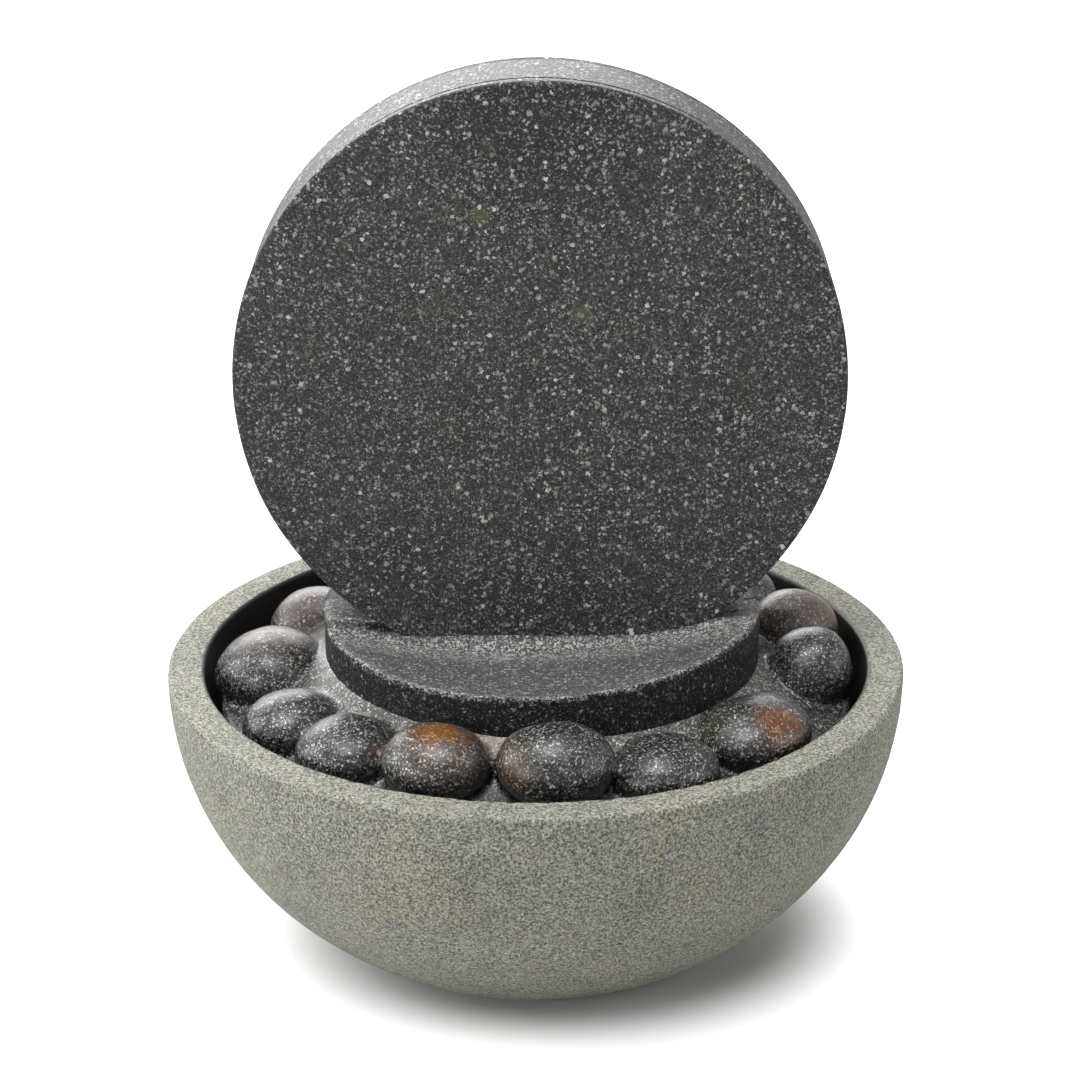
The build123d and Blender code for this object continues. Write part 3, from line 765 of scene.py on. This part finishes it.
# Angle in degrees, then in mm: ring, level, half length along the ring, half width, half height
pebbles = (
    (274.4, 106.5, 126.0, 22.5, 19.7, 16.4),
    (249.9, 107.5, 123.6, 21.3, 19.6, 15.4),
    (228.2, 108.8, 118.6, 20.4, 19.9, 13.8),
    (208.8, 109.7, 117.4, 18.4, 20.1, 14.2),
    (181.0, 107.4, 117.0, 23.4, 24.3, 18.8),
    (151.0, 106.9, 116.6, 19.9, 19.4, 16.0),
    (129.5, 107.4, 116.9, 17.0, 19.8, 15.7),
    (108.0, 109.0, 119.3, 19.0, 19.1, 14.8),
    (85.0, 107.9, 120.5, 21.0, 19.5, 15.7),
    (62.0, 108.5, 118.7, 19.5, 19.3, 15.2),
    (39.0, 108.8, 121.0, 18.3, 20.1, 16.2),
    (17.0, 112.8, 121.0, 18.6, 19.4, 18.4),
    (357.0, 112.0, 118.4, 18.4, 17.9, 20.0),
    (322.4, 109.6, 120.6, 25.0, 20.7, 14.1),
    (297.4, 109.5, 118.8, 21.0, 18.7, 12.5),
)


def placed(piece, place, turn=0.0, size=(1.0, 1.0, 1.0)):
    """Puts a piece in its place, and keeps the place in its mesh."""
    pick(piece)
    piece.scale = size
    piece.rotation_euler = (0.0, 0.0, turn)
    piece.location = place
    bpy.ops.object.transform_apply(location=True, rotation=True, scale=True)


def join_all(pieces, name):
    """Joins several pieces into the first, under one name."""
    bpy.ops.object.select_all(action="DESELECT")
    for piece in pieces:
        piece.select_set(True)
    bpy.context.view_layer.objects.active = pieces[0]
    bpy.ops.object.join()
    pieces[0].name = name
    pieces[0].data.name = name
    return pieces[0]


ring_corner = tray_radius - tray_round
ring_outline = [(ring_inside, tray_bottom), (ring_corner, tray_bottom)]
ring_outline += rounded_corner(
    (ring_corner, tray_bottom + tray_round), tray_round, -90, 0
)[1:]
ring_outline += rounded_corner((ring_corner, tray_top - tray_round), tray_round, 0, 90)
ring_outline += bent_line(
    (bank_foot, tray_top),
    (bank_foot - 9 * mm, tray_top + 0.3 * mm),
    (drum_radius + 7 * mm, tray_top + 0.62 * bank_rise),
    (drum_radius - 3 * mm, tray_top + bank_rise),
    16,
)
ring_outline += [(ring_inside, tray_top + bank_rise), (ring_inside, tray_bottom)]
casting = turn_on_lathe("pebble_casting", ring_outline, ring_steps)
stones = []
for angle, ring, level, half_length, half_width, half_height in pebbles:
    bpy.ops.object.select_all(action="DESELECT")
    bpy.ops.mesh.primitive_ico_sphere_add(subdivisions=5, radius=mm)
    stone = bpy.context.object
    turn = math.radians(angle)
    placed(
        stone,
        (ring * mm * math.cos(turn), ring * mm * math.sin(turn), level * mm),
        turn,
        (half_width, half_length, half_height),
    )
    roughen(stone, lump_size, lump_depth, 1)
    stones.append(stone)
casting = join_all([casting] + stones, "pebble_casting")
finish_with(casting, "REMESH", mode="VOXEL", voxel_size=casting_grid)
finish_with(casting, "SMOOTH", factor=0.6, iterations=7)
roughen(casting, ripple_size, ripple_depth, 3)

plate_outline = [
    (0.0, tray_bottom),
    (plate_middle, tray_bottom),
    (plate_radius, tray_bottom),
    (plate_radius, tray_top),
    (plate_middle, tray_top),
    (0.0, tray_top),
]
plate = turn_on_lathe("tray_plate", plate_outline, 96)


def cut_away(piece, cutter):
    """Cuts one piece out of another and removes the cutter."""
    finish_with(piece, "BOOLEAN", object=cutter, operation="DIFFERENCE", solver="EXACT")
    bpy.data.objects.remove(cutter, do_unlink=True)


hole_outline = [
    (0.0, tray_bottom - overshoot),
    (hole_radius, tray_bottom - overshoot),
    (hole_radius, tray_top + overshoot),
    (0.0, tray_top + overshoot),
]
tube_hole = turn_on_lathe("tube_hole", hole_outline, 48)
placed(tube_hole, column_place)
cut_away(plate, tube_hole)
casting = join_all([casting, plate], "pebble_casting")
shade_smooth(casting, 50.0)


def mark_places(piece, name, worth):
    """Keeps a value from 0 to 1 at every corner point of a piece, for its finish to read."""
    values = [min(1.0, max(0.0, worth(v.co, v.normal))) for v in piece.data.vertices]
    layer = piece.data.attributes.new(name, "FLOAT", "POINT")
    layer.data.foreach_set("value", values)


pebble_frames = []
for angle, *sizes in pebbles:
    turn = math.radians(angle)
    pebble_frames.append((math.cos(turn), math.sin(turn), *(v * mm for v in sizes)))


def webbing(place, facing):
    """0 on a pebble, rising to 1 on the webs and the bank between the pebbles."""
    nearest = 9.0
    for c, s, ring, level, half_length, half_width, half_height in pebble_frames:
        across = (place.x * c + place.y * s - ring) / half_width
        along = (place.y * c - place.x * s) / half_length
        up = (place.z - level) / half_height
        nearest = min(nearest, across * across + along * along + up * up)
    climb = min(1.0, max(0.0, (place.z - tray_top - web_low) / web_climb))
    return min(1.0, (math.sqrt(nearest) - 1.03) / 0.13) * (0.25 + 0.75 * climb)


mark_places(casting, "worn", webbing)
pebble_finish = stone_finish(
    "pebble_stone_finish",
    ground=((0.003, 0.003, 0.003), (0.030, 0.030, 0.028)),
    grain=(0.8, 0.42, 0.72),
    layers=[
        (0.80, 0.52, 0.5, 0.06, (0.27, 0.27, 0.26), 0.8, (0.5, 1.0)),
        (1.20, 0.46, 0.6, 0.04, (0.60, 0.60, 0.58), 0.7, (0.40, 1.0)),
        (2.0, 0.30, 0.9, 0.04, (0.70, 0.68, 0.62), 0.6, (0.2, 0.9)),
    ],
    gloss=(0.22, 0.36, 0.50),
    relief=0.16,
    stains_and_painted_shade=(
        ((-98.0, 44.0, 133.0), 24.0, (0.100, 0.072, 0.060), 0.74),
        ((-108.0, -2.0, 138.0), 20.0, (0.090, 0.064, 0.054), 0.68),
        ((-56.5, -97.0, 129.0), 8.5, (0.045, 0.012, 0.009), 0.8),
        ((-34.6, -104.0, 132.0), 24.0, (0.055, 0.036, 0.027), 0.70),
        ((-35.5, -102.0, 139.5), 13.5, (0.160, 0.054, 0.006), 0.88),
        ((-8.5, -117.0, 129.0), 14.0, (0.050, 0.027, 0.015), 0.70),
        ((95.5, -78.5, 131.0), 14.5, (0.105, 0.033, 0.006), 0.86),
        ((70.0, -75.5, 129.0), 13.0, (0.045, 0.052, 0.034), 0.6),
        ((108.9, 25.0, 138.0), 27.0, (0.100, 0.073, 0.062), 0.85),
        ((126.0, 28.0, 130.0), 12.0, (0.15, 0.085, 0.055), 0.6),
        ((-17.9, -90.0, 125.0), 13.0, (0.19, 0.135, 0.100), 0.6),
        ((114.0, -63.0, 118.0), 15.0, (0.12, 0.08, 0.055), 0.6),
        # This dark spot on the left web is painted shade, darkening the glare of the left
        # softbox there.
        ((-88.0, -34.0, 124.0), 24.0, (0.014, 0.014, 0.013), 0.75),
    ),
    lightened=("worn", (0.036, 0.036, 0.034), (0.076, 0.076, 0.072), (0.62, 0.62, 0.58)),
    marks=(
        ((92.7, 7.3, 125.1), (96.6, 12.7, 122.2), 0.8, (0.004, 0.004, 0.004)),
        ((-97.3, -23.6, 121.8), (-83.1, -37.3, 126.3), 0.7, (0.42, 0.42, 0.40)),
    ),
)
casting.data.materials.append(pebble_finish)
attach(casting, "insert")
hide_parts("pebble_tray")

# ---------------------------------------------------------------------------------------------
# Grommet: a ring of black rubber, moulded with a groove and pressed into the hole in the
# insert's plate, where it grips the riser tube.
dress("tube_grommet", rubber_finish)

# ---------------------------------------------------------------------------------------------
# Pedestal: a hollow drum cast in the disc's dark stone. Its top is scooped into a shallow ledge
# before the disc, and a cove joins the ledge to the disc's face, smoothed by hand when wet. Its
# finish is the disc's stone made darker, as painted shade on the drum, and extra bright grains
# on the cove and along the ledge's edge are a painted highlight.
drum_top = 149.5 * mm
drum_foot = tray_top + 1 * mm
drum_wall = 8 * mm
drum_edge = 1.4 * mm
drum_eye = 9 * mm
drum_steps = 192
dish_radius = 315 * mm
dish_low = 136.7 * mm
dish_centre = (-10.3 * mm, -15.1 * mm)
ledge_low = 132.0 * mm
disc_radius = 119.8 * mm
disc_level = 248.3 * mm
disc_front = -21.3 * mm
disc_back = 21.3 * mm
disc_steps = 256
cove_radius = 8.5 * mm
cove_half_length = 66 * mm
saddle_level = 128.6 * mm
saddle_size = (148 * mm, 58 * mm, 12.4 * mm)
pedestal_grid = 1.15 * mm
slump_size, slump_depth = 30 * mm, 0.5 * mm
wet_reach, wet_fade = 2 * mm, 8 * mm
highlight_reach, highlight_fade = 11 * mm, 10 * mm
ear_start, ear_fade = 56 * mm, 12 * mm
ear_front, ear_depth = 40 * mm, 16 * mm
edge_width, edge_fade = 4 * mm, 3 * mm
pore_size, pore_depth = 4 * mm, 0.30 * mm

drum_outline = [(drum_eye, drum_top), (50 * mm, drum_top)]
drum_outline += rounded_corner(
    (drum_radius - drum_edge, drum_top - drum_edge), drum_edge, 90, 0
)
drum_outline += straight_line(
    (drum_radius, drum_top - drum_edge), (drum_radius, drum_foot), 6
)
drum_outline += [
    (drum_radius - drum_wall, drum_foot),
    (drum_radius - drum_wall, ledge_low),
    (drum_eye, ledge_low),
    (drum_eye, drum_top),
]
pedestal = turn_on_lathe("scooped_pedestal", drum_outline, drum_steps)

bpy.ops.object.select_all(action="DESELECT")
bpy.ops.mesh.primitive_ico_sphere_add(subdivisions=7, radius=dish_radius)
dish = bpy.context.object
placed(dish, (*dish_centre, dish_low + dish_radius))
edit(dish)
for cut, facing in (
    ((0.0, disc_front + 0.2 * mm, 0.0), (0.0, 1.0, 0.0)),
    ((0.0, 0.0, drum_top + 10 * mm), (0.0, 0.0, 1.0)),
):
    bpy.ops.mesh.select_all(action="SELECT")
    bpy.ops.mesh.bisect(plane_co=cut, plane_no=facing, clear_outer=True, use_fill=True)
close_edit()
cut_away(pedestal, dish)

cove_front = disc_front - cove_radius + 0.9 * mm
cove_behind = disc_front + 3 * mm
cove_top = dish_low + 0.3 * mm + cove_radius
cove_outline = rounded_corner((cove_front, cove_top), cove_radius, -90, -4, 12)
cove_outline += [
    (cove_behind, cove_top),
    (cove_behind, ledge_low),
    (cove_front, ledge_low),
    cove_outline[0],
]
cove = draw_line("cove", [Vector((-cove_half_length, *p)) for p in cove_outline])
bpy.ops.mesh.remove_doubles(threshold=weld_distance)
bpy.ops.mesh.select_all(action="SELECT")
bpy.ops.mesh.edge_face_add()
bpy.ops.mesh.extrude_region_move(
    TRANSFORM_OT_translate={"value": (2 * cove_half_length, 0.0, 0.0)}
)
bpy.ops.mesh.select_all(action="SELECT")
bpy.ops.mesh.normals_make_consistent(inside=False)
close_edit()

bpy.ops.object.select_all(action="DESELECT")
bpy.ops.mesh.primitive_cube_add(size=1.0)
saddle = bpy.context.object
placed(saddle, (0.0, 0.0, saddle_level), 0.0, saddle_size)
pedestal = join_all([pedestal, cove, saddle], "scooped_pedestal")
placed(pedestal, column_place)

seat_radius = disc_radius - 0.3 * mm
seat_front = disc_front + 0.4 * mm
seat_back = disc_back - 0.4 * mm
seat_outline = [
    (0.0, seat_front),
    (seat_radius, seat_front),
    (seat_radius, seat_back),
    (0.0, seat_back),
]
disc_place = (column_place.x, 0.0, disc_level)
seat = turn_on_lathe("disc_seat", seat_outline, disc_steps, "Y", disc_place)
finish_with(pedestal, "REMESH", mode="VOXEL", voxel_size=pedestal_grid)
finish_with(pedestal, "SMOOTH", factor=0.5, iterations=4)
roughen(pedestal, slump_size, slump_depth)
roughen(pedestal, pore_size, pore_depth, 3)
cut_away(pedestal, seat)
shade_smooth(pedestal, 50.0)


def worn_by_water(place, facing):
    """1 on the ledge, the cove and the drum's upper edge, little on the two ears beside the
    disc, and 0 on the wall."""
    on_cove = 0.0
    if place.y < 0.0 and facing.z > 0.1:
        on_cove = (place.y - disc_front + cove_radius + wet_reach) / wet_fade
    aside = (abs(place.x - column_place.x) - ear_start) / ear_fade
    on_ear = min(aside, (place.y + ear_front) / ear_depth)
    level = (facing.z - 0.55) / 0.35 - 0.85 * min(1.0, max(0.0, on_ear))
    return max(level, min(0.9, on_cove))


def painted_highlight_band(place, facing):
    """Painted highlight: 1 on the cove at the foot of the disc and along the ledge's edge,
    where bright grains paint the highlight that falls there, and 0 elsewhere.
    """
    if place.y > 0.0 or facing.z < 0.1:
        return 0.0
    on_cove = (place.y - disc_front + cove_radius + highlight_reach) / highlight_fade
    below_face = 0.3 + (disc_front + 1 * mm - place.y) / (5 * mm)
    on_cove = min(on_cove, below_face)
    out = math.hypot(place.x - column_place.x, place.y)
    on_edge = (out - drum_radius + edge_width) / edge_fade
    return max(min(0.9, on_cove), min(0.6, on_edge))


mark_places(pedestal, "worn", worn_by_water)
mark_places(pedestal, "painted_highlight_band", painted_highlight_band)
disc_finish = stone_finish(
    "disc_stone_finish",
    ground=((0.008, 0.0083, 0.0083), (0.068, 0.069, 0.067)),
    grain=(0.75, 0.38, 0.66),
    layers=[
        (1.05, 0.45, 0.5, 0.06, (0.28, 0.28, 0.27), 0.8, (0.4, 1.0)),
        (1.7, 0.43, 0.6, 0.05, (0.48, 0.48, 0.455), 0.8, (0.35, 1.0)),
        (3.2, 0.34, 0.8, 0.04, (0.60, 0.60, 0.54), 0.6, (0.35, 1.0)),
    ],
    gloss=(0.42, 0.60, 0.29),
    relief=0.18,
    tints=(
        (24.0, 0.60, 0.72, (1.4, 1.5, 1.1)),
        (45.0, 0.45, 0.65, (0.86, 0.86, 0.90)),
    ),
    stains_and_painted_shade=(
        ((-19.9, -21.4, 316.5), 5.5, (0.105, 0.110, 0.062), 0.6),
        ((-16.5, -21.4, 343.7), 4.5, (0.095, 0.100, 0.056), 0.5),
        ((18.9, -21.4, 277.1), 5.0, (0.100, 0.105, 0.060), 0.55),
        # The two wide dark spots below are painted shade, darkening the top and the bottom of
        # the disc's face.
        ((2.6, -21.4, 358.0), 62.0, (0.013, 0.013, 0.014), 0.60),
        ((2.6, -21.4, 146.0), 46.0, (0.013, 0.013, 0.014), 0.50),
    ),
    marks=(
        ((24.4, -6.0, 366.1), (27.9, -5.2, 365.6), 1.1, (0.02, 0.02, 0.02)),
        ((38.6, -21.4, 144.8), (38.9, -21.4, 143.0), 1.7, (0.72, 0.72, 0.70)),
    ),
)
# The disc's stone made darker: painted shade on the drum, which is cast in the same stone as
# the disc.
shaded_pedestal_finish = stone_finish(
    "shaded_pedestal_stone_finish",
    ground=((0.003, 0.0033, 0.0033), (0.030, 0.031, 0.030)),
    grain=(0.75, 0.38, 0.66),
    layers=[
        (1.05, 0.42, 0.5, 0.06, (0.18, 0.18, 0.175), 0.8, (0.35, 1.0)),
        (1.7, 0.36, 0.6, 0.05, (0.29, 0.29, 0.275), 0.8, (0.25, 1.0)),
        (3.2, 0.28, 0.8, 0.04, (0.40, 0.40, 0.37), 0.6, (0.2, 1.0)),
    ],
    gloss=(0.40, 0.58, 0.12),
    relief=0.20,
    lightened=("worn", (0.050, 0.051, 0.050), (0.106, 0.108, 0.106), (0.56, 0.56, 0.54)),
    # Painted highlight: bright grains on the cove and along the ledge's edge.
    painted_highlight=("painted_highlight_band", (0.50, 0.50, 0.48)),
    marks=(
        ((85.3, -0.8, 149.4), (90.3, 0.9, 148.9), 1.6, (0.004, 0.004, 0.004)),
        ((79.1, -14.3, 149.5), (82.1, -12.7, 149.5), 1.3, (0.004, 0.004, 0.004)),
    ),
)
pedestal.data.materials.append(shaded_pedestal_finish)
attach(pedestal, "insert")
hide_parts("pedestal")

# ---------------------------------------------------------------------------------------------
# Riser: half-inch clear vinyl tube, clouded a little by use, which carries the water from the
# pump up through the drum to the spreader behind the slit.
vinyl_clear = (0.80, 0.86, 0.86, 1.0)
vinyl_clouded = (0.66, 0.72, 0.71, 1.0)
clear_finish, tree, where = new_finish("clear_tube_finish")
haze = stretched(tree, cloudiness(tree, where, 120.0, 4.0), 0.3, 0.75)
vinyl = {
    "Base Color": masked_mix(tree, haze, vinyl_clear, vinyl_clouded),
    "Roughness": maths(tree, "MULTIPLY_ADD", haze, 0.18, 0.10),
    "Transmission Weight": 0.82,
    "IOR": 1.52,
}
skin(tree, vinyl, cloudiness(tree, where, 500.0, 2.0), 0.4, 0.1 * mm)
dress("riser_tube", clear_finish)

# ---------------------------------------------------------------------------------------------
# Disc shell: the disc's face and rim band, cast in one in dark flecked stone and rubbed flat.
# A saw-thin slit along the top, just behind the face, lets the water well out.
face_round = 0.9 * mm
face_back = -16.3 * mm
seam = 16.8 * mm
seam_groove = 0.5 * mm
band_inside = 113.8 * mm
slit_width = 1.6 * mm
slit_depth = 10 * mm
slit_radius = 116 * mm
slit_half_angle = 32.0
plate_core = 60 * mm
warp_size, warp_depth = 60 * mm, 0.5 * mm
rub_size, rub_depth = 3.5 * mm, 0.14 * mm

shell_outline = [(0.0, disc_front)]
shell_outline += straight_line(
    (0.0, disc_front), (disc_radius - face_round, disc_front), 44
)
shell_outline += rounded_corner(
    (disc_radius - face_round, disc_front + face_round), face_round, -90, 0
)[1:]
shell_outline += straight_line(
    (disc_radius, disc_front + face_round), (disc_radius, seam - seam_groove), 14
)
shell_outline += [
    (disc_radius - seam_groove, seam),
    (band_inside, seam),
    (band_inside, face_back),
    (plate_core, face_back),
    (0.0, face_back),
]
disc = turn_on_lathe("disc_casting", shell_outline, disc_steps, "Y", disc_place)

bpy.ops.object.select_all(action="DESELECT")
bpy.ops.mesh.primitive_plane_add(size=1.0)
slit = bpy.context.object
slit_middle = (slit_radius, face_back + slit_width / 2, 0.0)
placed(slit, slit_middle, 0.0, (slit_depth, slit_width, 1.0))
edit(slit)
bpy.ops.mesh.spin(
    steps=64,
    angle=math.radians(2 * slit_half_angle),
    center=(0.0, 0.0, 0.0),
    axis=(0.0, 1.0, 0.0),
)
bpy.ops.mesh.select_all(action="SELECT")
bpy.ops.mesh.normals_make_consistent(inside=False)
close_edit()
slit.rotation_euler = (0.0, math.radians(slit_half_angle - 90.0), 0.0)
slit.location = disc_place
bpy.ops.object.transform_apply(location=True, rotation=True, scale=True)
cut_away(disc, slit)
roughen(disc, warp_size, warp_depth, 1)
roughen(disc, rub_size, rub_depth, 3)
shade_smooth(disc, 40.0)
disc.data.materials.append(disc_finish)
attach(disc, "insert")
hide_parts("disc_shell")

# ---------------------------------------------------------------------------------------------
# Back cover: the disc's back plate, cast in the same stone, with a locating lip inside the band
# and four recessed screw holes. It comes off to reach the spreader.
lip_outside = 113.7 * mm
lip_inside = 109.7 * mm
lip_front = 11.8 * mm
recess_radius = 3.9 * mm
recess_depth = 2 * mm
recess_taper = 0.15 * mm
screw_ring = 104 * mm
screw_radius = 1.7 * mm
screw_room = 0.1 * mm
screw_turns = (45.0, 135.0, 225.0, 315.0)
screw_steps = 40

cover_outline = [
    (0.0, seam),
    (plate_core, seam),
    (lip_inside, seam),
    (lip_inside, lip_front),
    (lip_outside, lip_front),
    (lip_outside, seam),
    (disc_radius - seam_groove, seam),
]
cover_outline += straight_line(
    (disc_radius, seam + seam_groove), (disc_radius, disc_back - face_round), 2
)
cover_outline += rounded_corner(
    (disc_radius - face_round, disc_back - face_round), face_round, 0, 90
)
cover_outline += straight_line(
    (disc_radius - face_round, disc_back), (0.0, disc_back), 40
)
cover = turn_on_lathe("disc_back_plate", cover_outline, disc_steps, "Y", disc_place)
recess_outline = [
    (0.0, seam - 8 * mm),
    (screw_radius + screw_room, seam - 8 * mm),
    (screw_radius + screw_room, disc_back - recess_depth),
    (recess_radius, disc_back - recess_depth),
    (recess_radius + recess_taper, disc_back + 1 * mm),
    (0.0, disc_back + 1 * mm),
]
screw_places = []
for turn in screw_turns:
    aim = Vector((math.cos(math.radians(turn)), 0.0, math.sin(math.radians(turn))))
    place = Vector(disc_place) + screw_ring * aim
    cut_away(cover, turn_on_lathe("recess", recess_outline, screw_steps, "Y", place))
    screw_places.append(place)
roughen(cover, warp_size, warp_depth, 1)
roughen(cover, rub_size, rub_depth, 3)
shade_smooth(cover, 40.0)
cover.data.materials.append(disc_finish)
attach(cover, "insert")
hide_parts("disc_back_cover")

# ---------------------------------------------------------------------------------------------
# Cover screws: four stainless pan-head screws with a cross recess, driven into the shell's
# bosses. Their heads are turned bright and dulled a little by water.
screw_length = 16 * mm
head_radius = 3.4 * mm
head_height = 2 * mm
cross_half = 1.8 * mm
cross_width = 0.9 * mm
cross_depth = 1.2 * mm
thread_count = 14
thread_depth = 0.35 * mm

steel_bright = (0.62, 0.62, 0.61, 1.0)
steel_dulled = (0.42, 0.41, 0.39, 1.0)
steel_finish, tree, where = new_finish("screw_steel_finish")
scratches = cloudiness(tree, where, 2600.0, 4.0, 0.7)
dulling = stretched(tree, cloudiness(tree, where, 350.0, 3.0), 0.4, 0.7)
steel = {
    "Base Color": masked_mix(tree, dulling, steel_bright, steel_dulled),
    "Metallic": 1.0,
    "Roughness": maths(tree, "MULTIPLY_ADD", scratches, 0.22, 0.20),
}
skin(tree, steel, scratches, 0.5, 0.02 * mm)

under_head = disc_back - head_height
screw_tip = under_head - screw_length
head_side = under_head + 0.7 * mm
screw_outline = [(0.0, screw_tip), (0.5 * mm, screw_tip + 0.2 * mm)]
for ridge in range(thread_count):
    root = screw_tip + (1.2 + ridge) * mm
    screw_outline.append((screw_radius - thread_depth, root))
    screw_outline.append((screw_radius, root + 0.5 * mm))
screw_outline += [(screw_radius, under_head), (head_radius, under_head)]
screw_outline += bent_line(
    (head_radius, head_side),
    (head_radius, under_head + 1.5 * mm),
    (head_radius - 1.2 * mm, disc_back),
    (0.0, disc_back),
    8,
)
screw = turn_on_lathe("cover_screw_1", screw_outline, screw_steps, "Y")
for reach, breadth in ((cross_half, cross_width / 2), (cross_width / 2, cross_half)):
    bpy.ops.object.select_all(action="DESELECT")
    bpy.ops.mesh.primitive_cube_add(size=2.0)
    blade = bpy.context.object
    placed(blade, (0.0, disc_back, 0.0), 0.0, (reach, cross_depth, breadth))
    cut_away(screw, blade)
shade_smooth(screw, 35.0)
screw.data.materials.append(steel_finish)
screws = [screw]
for number in range(2, len(screw_places) + 1):
    made = screw.copy()
    made.data = screw.data.copy()
    made.name = "cover_screw_%d" % number
    bpy.context.scene.collection.objects.link(made)
    screws.append(made)
for made, place in zip(screws, screw_places):
    placed(made, (place.x, 0.0, place.z))
    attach(made, "insert")
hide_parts("cover_screws")
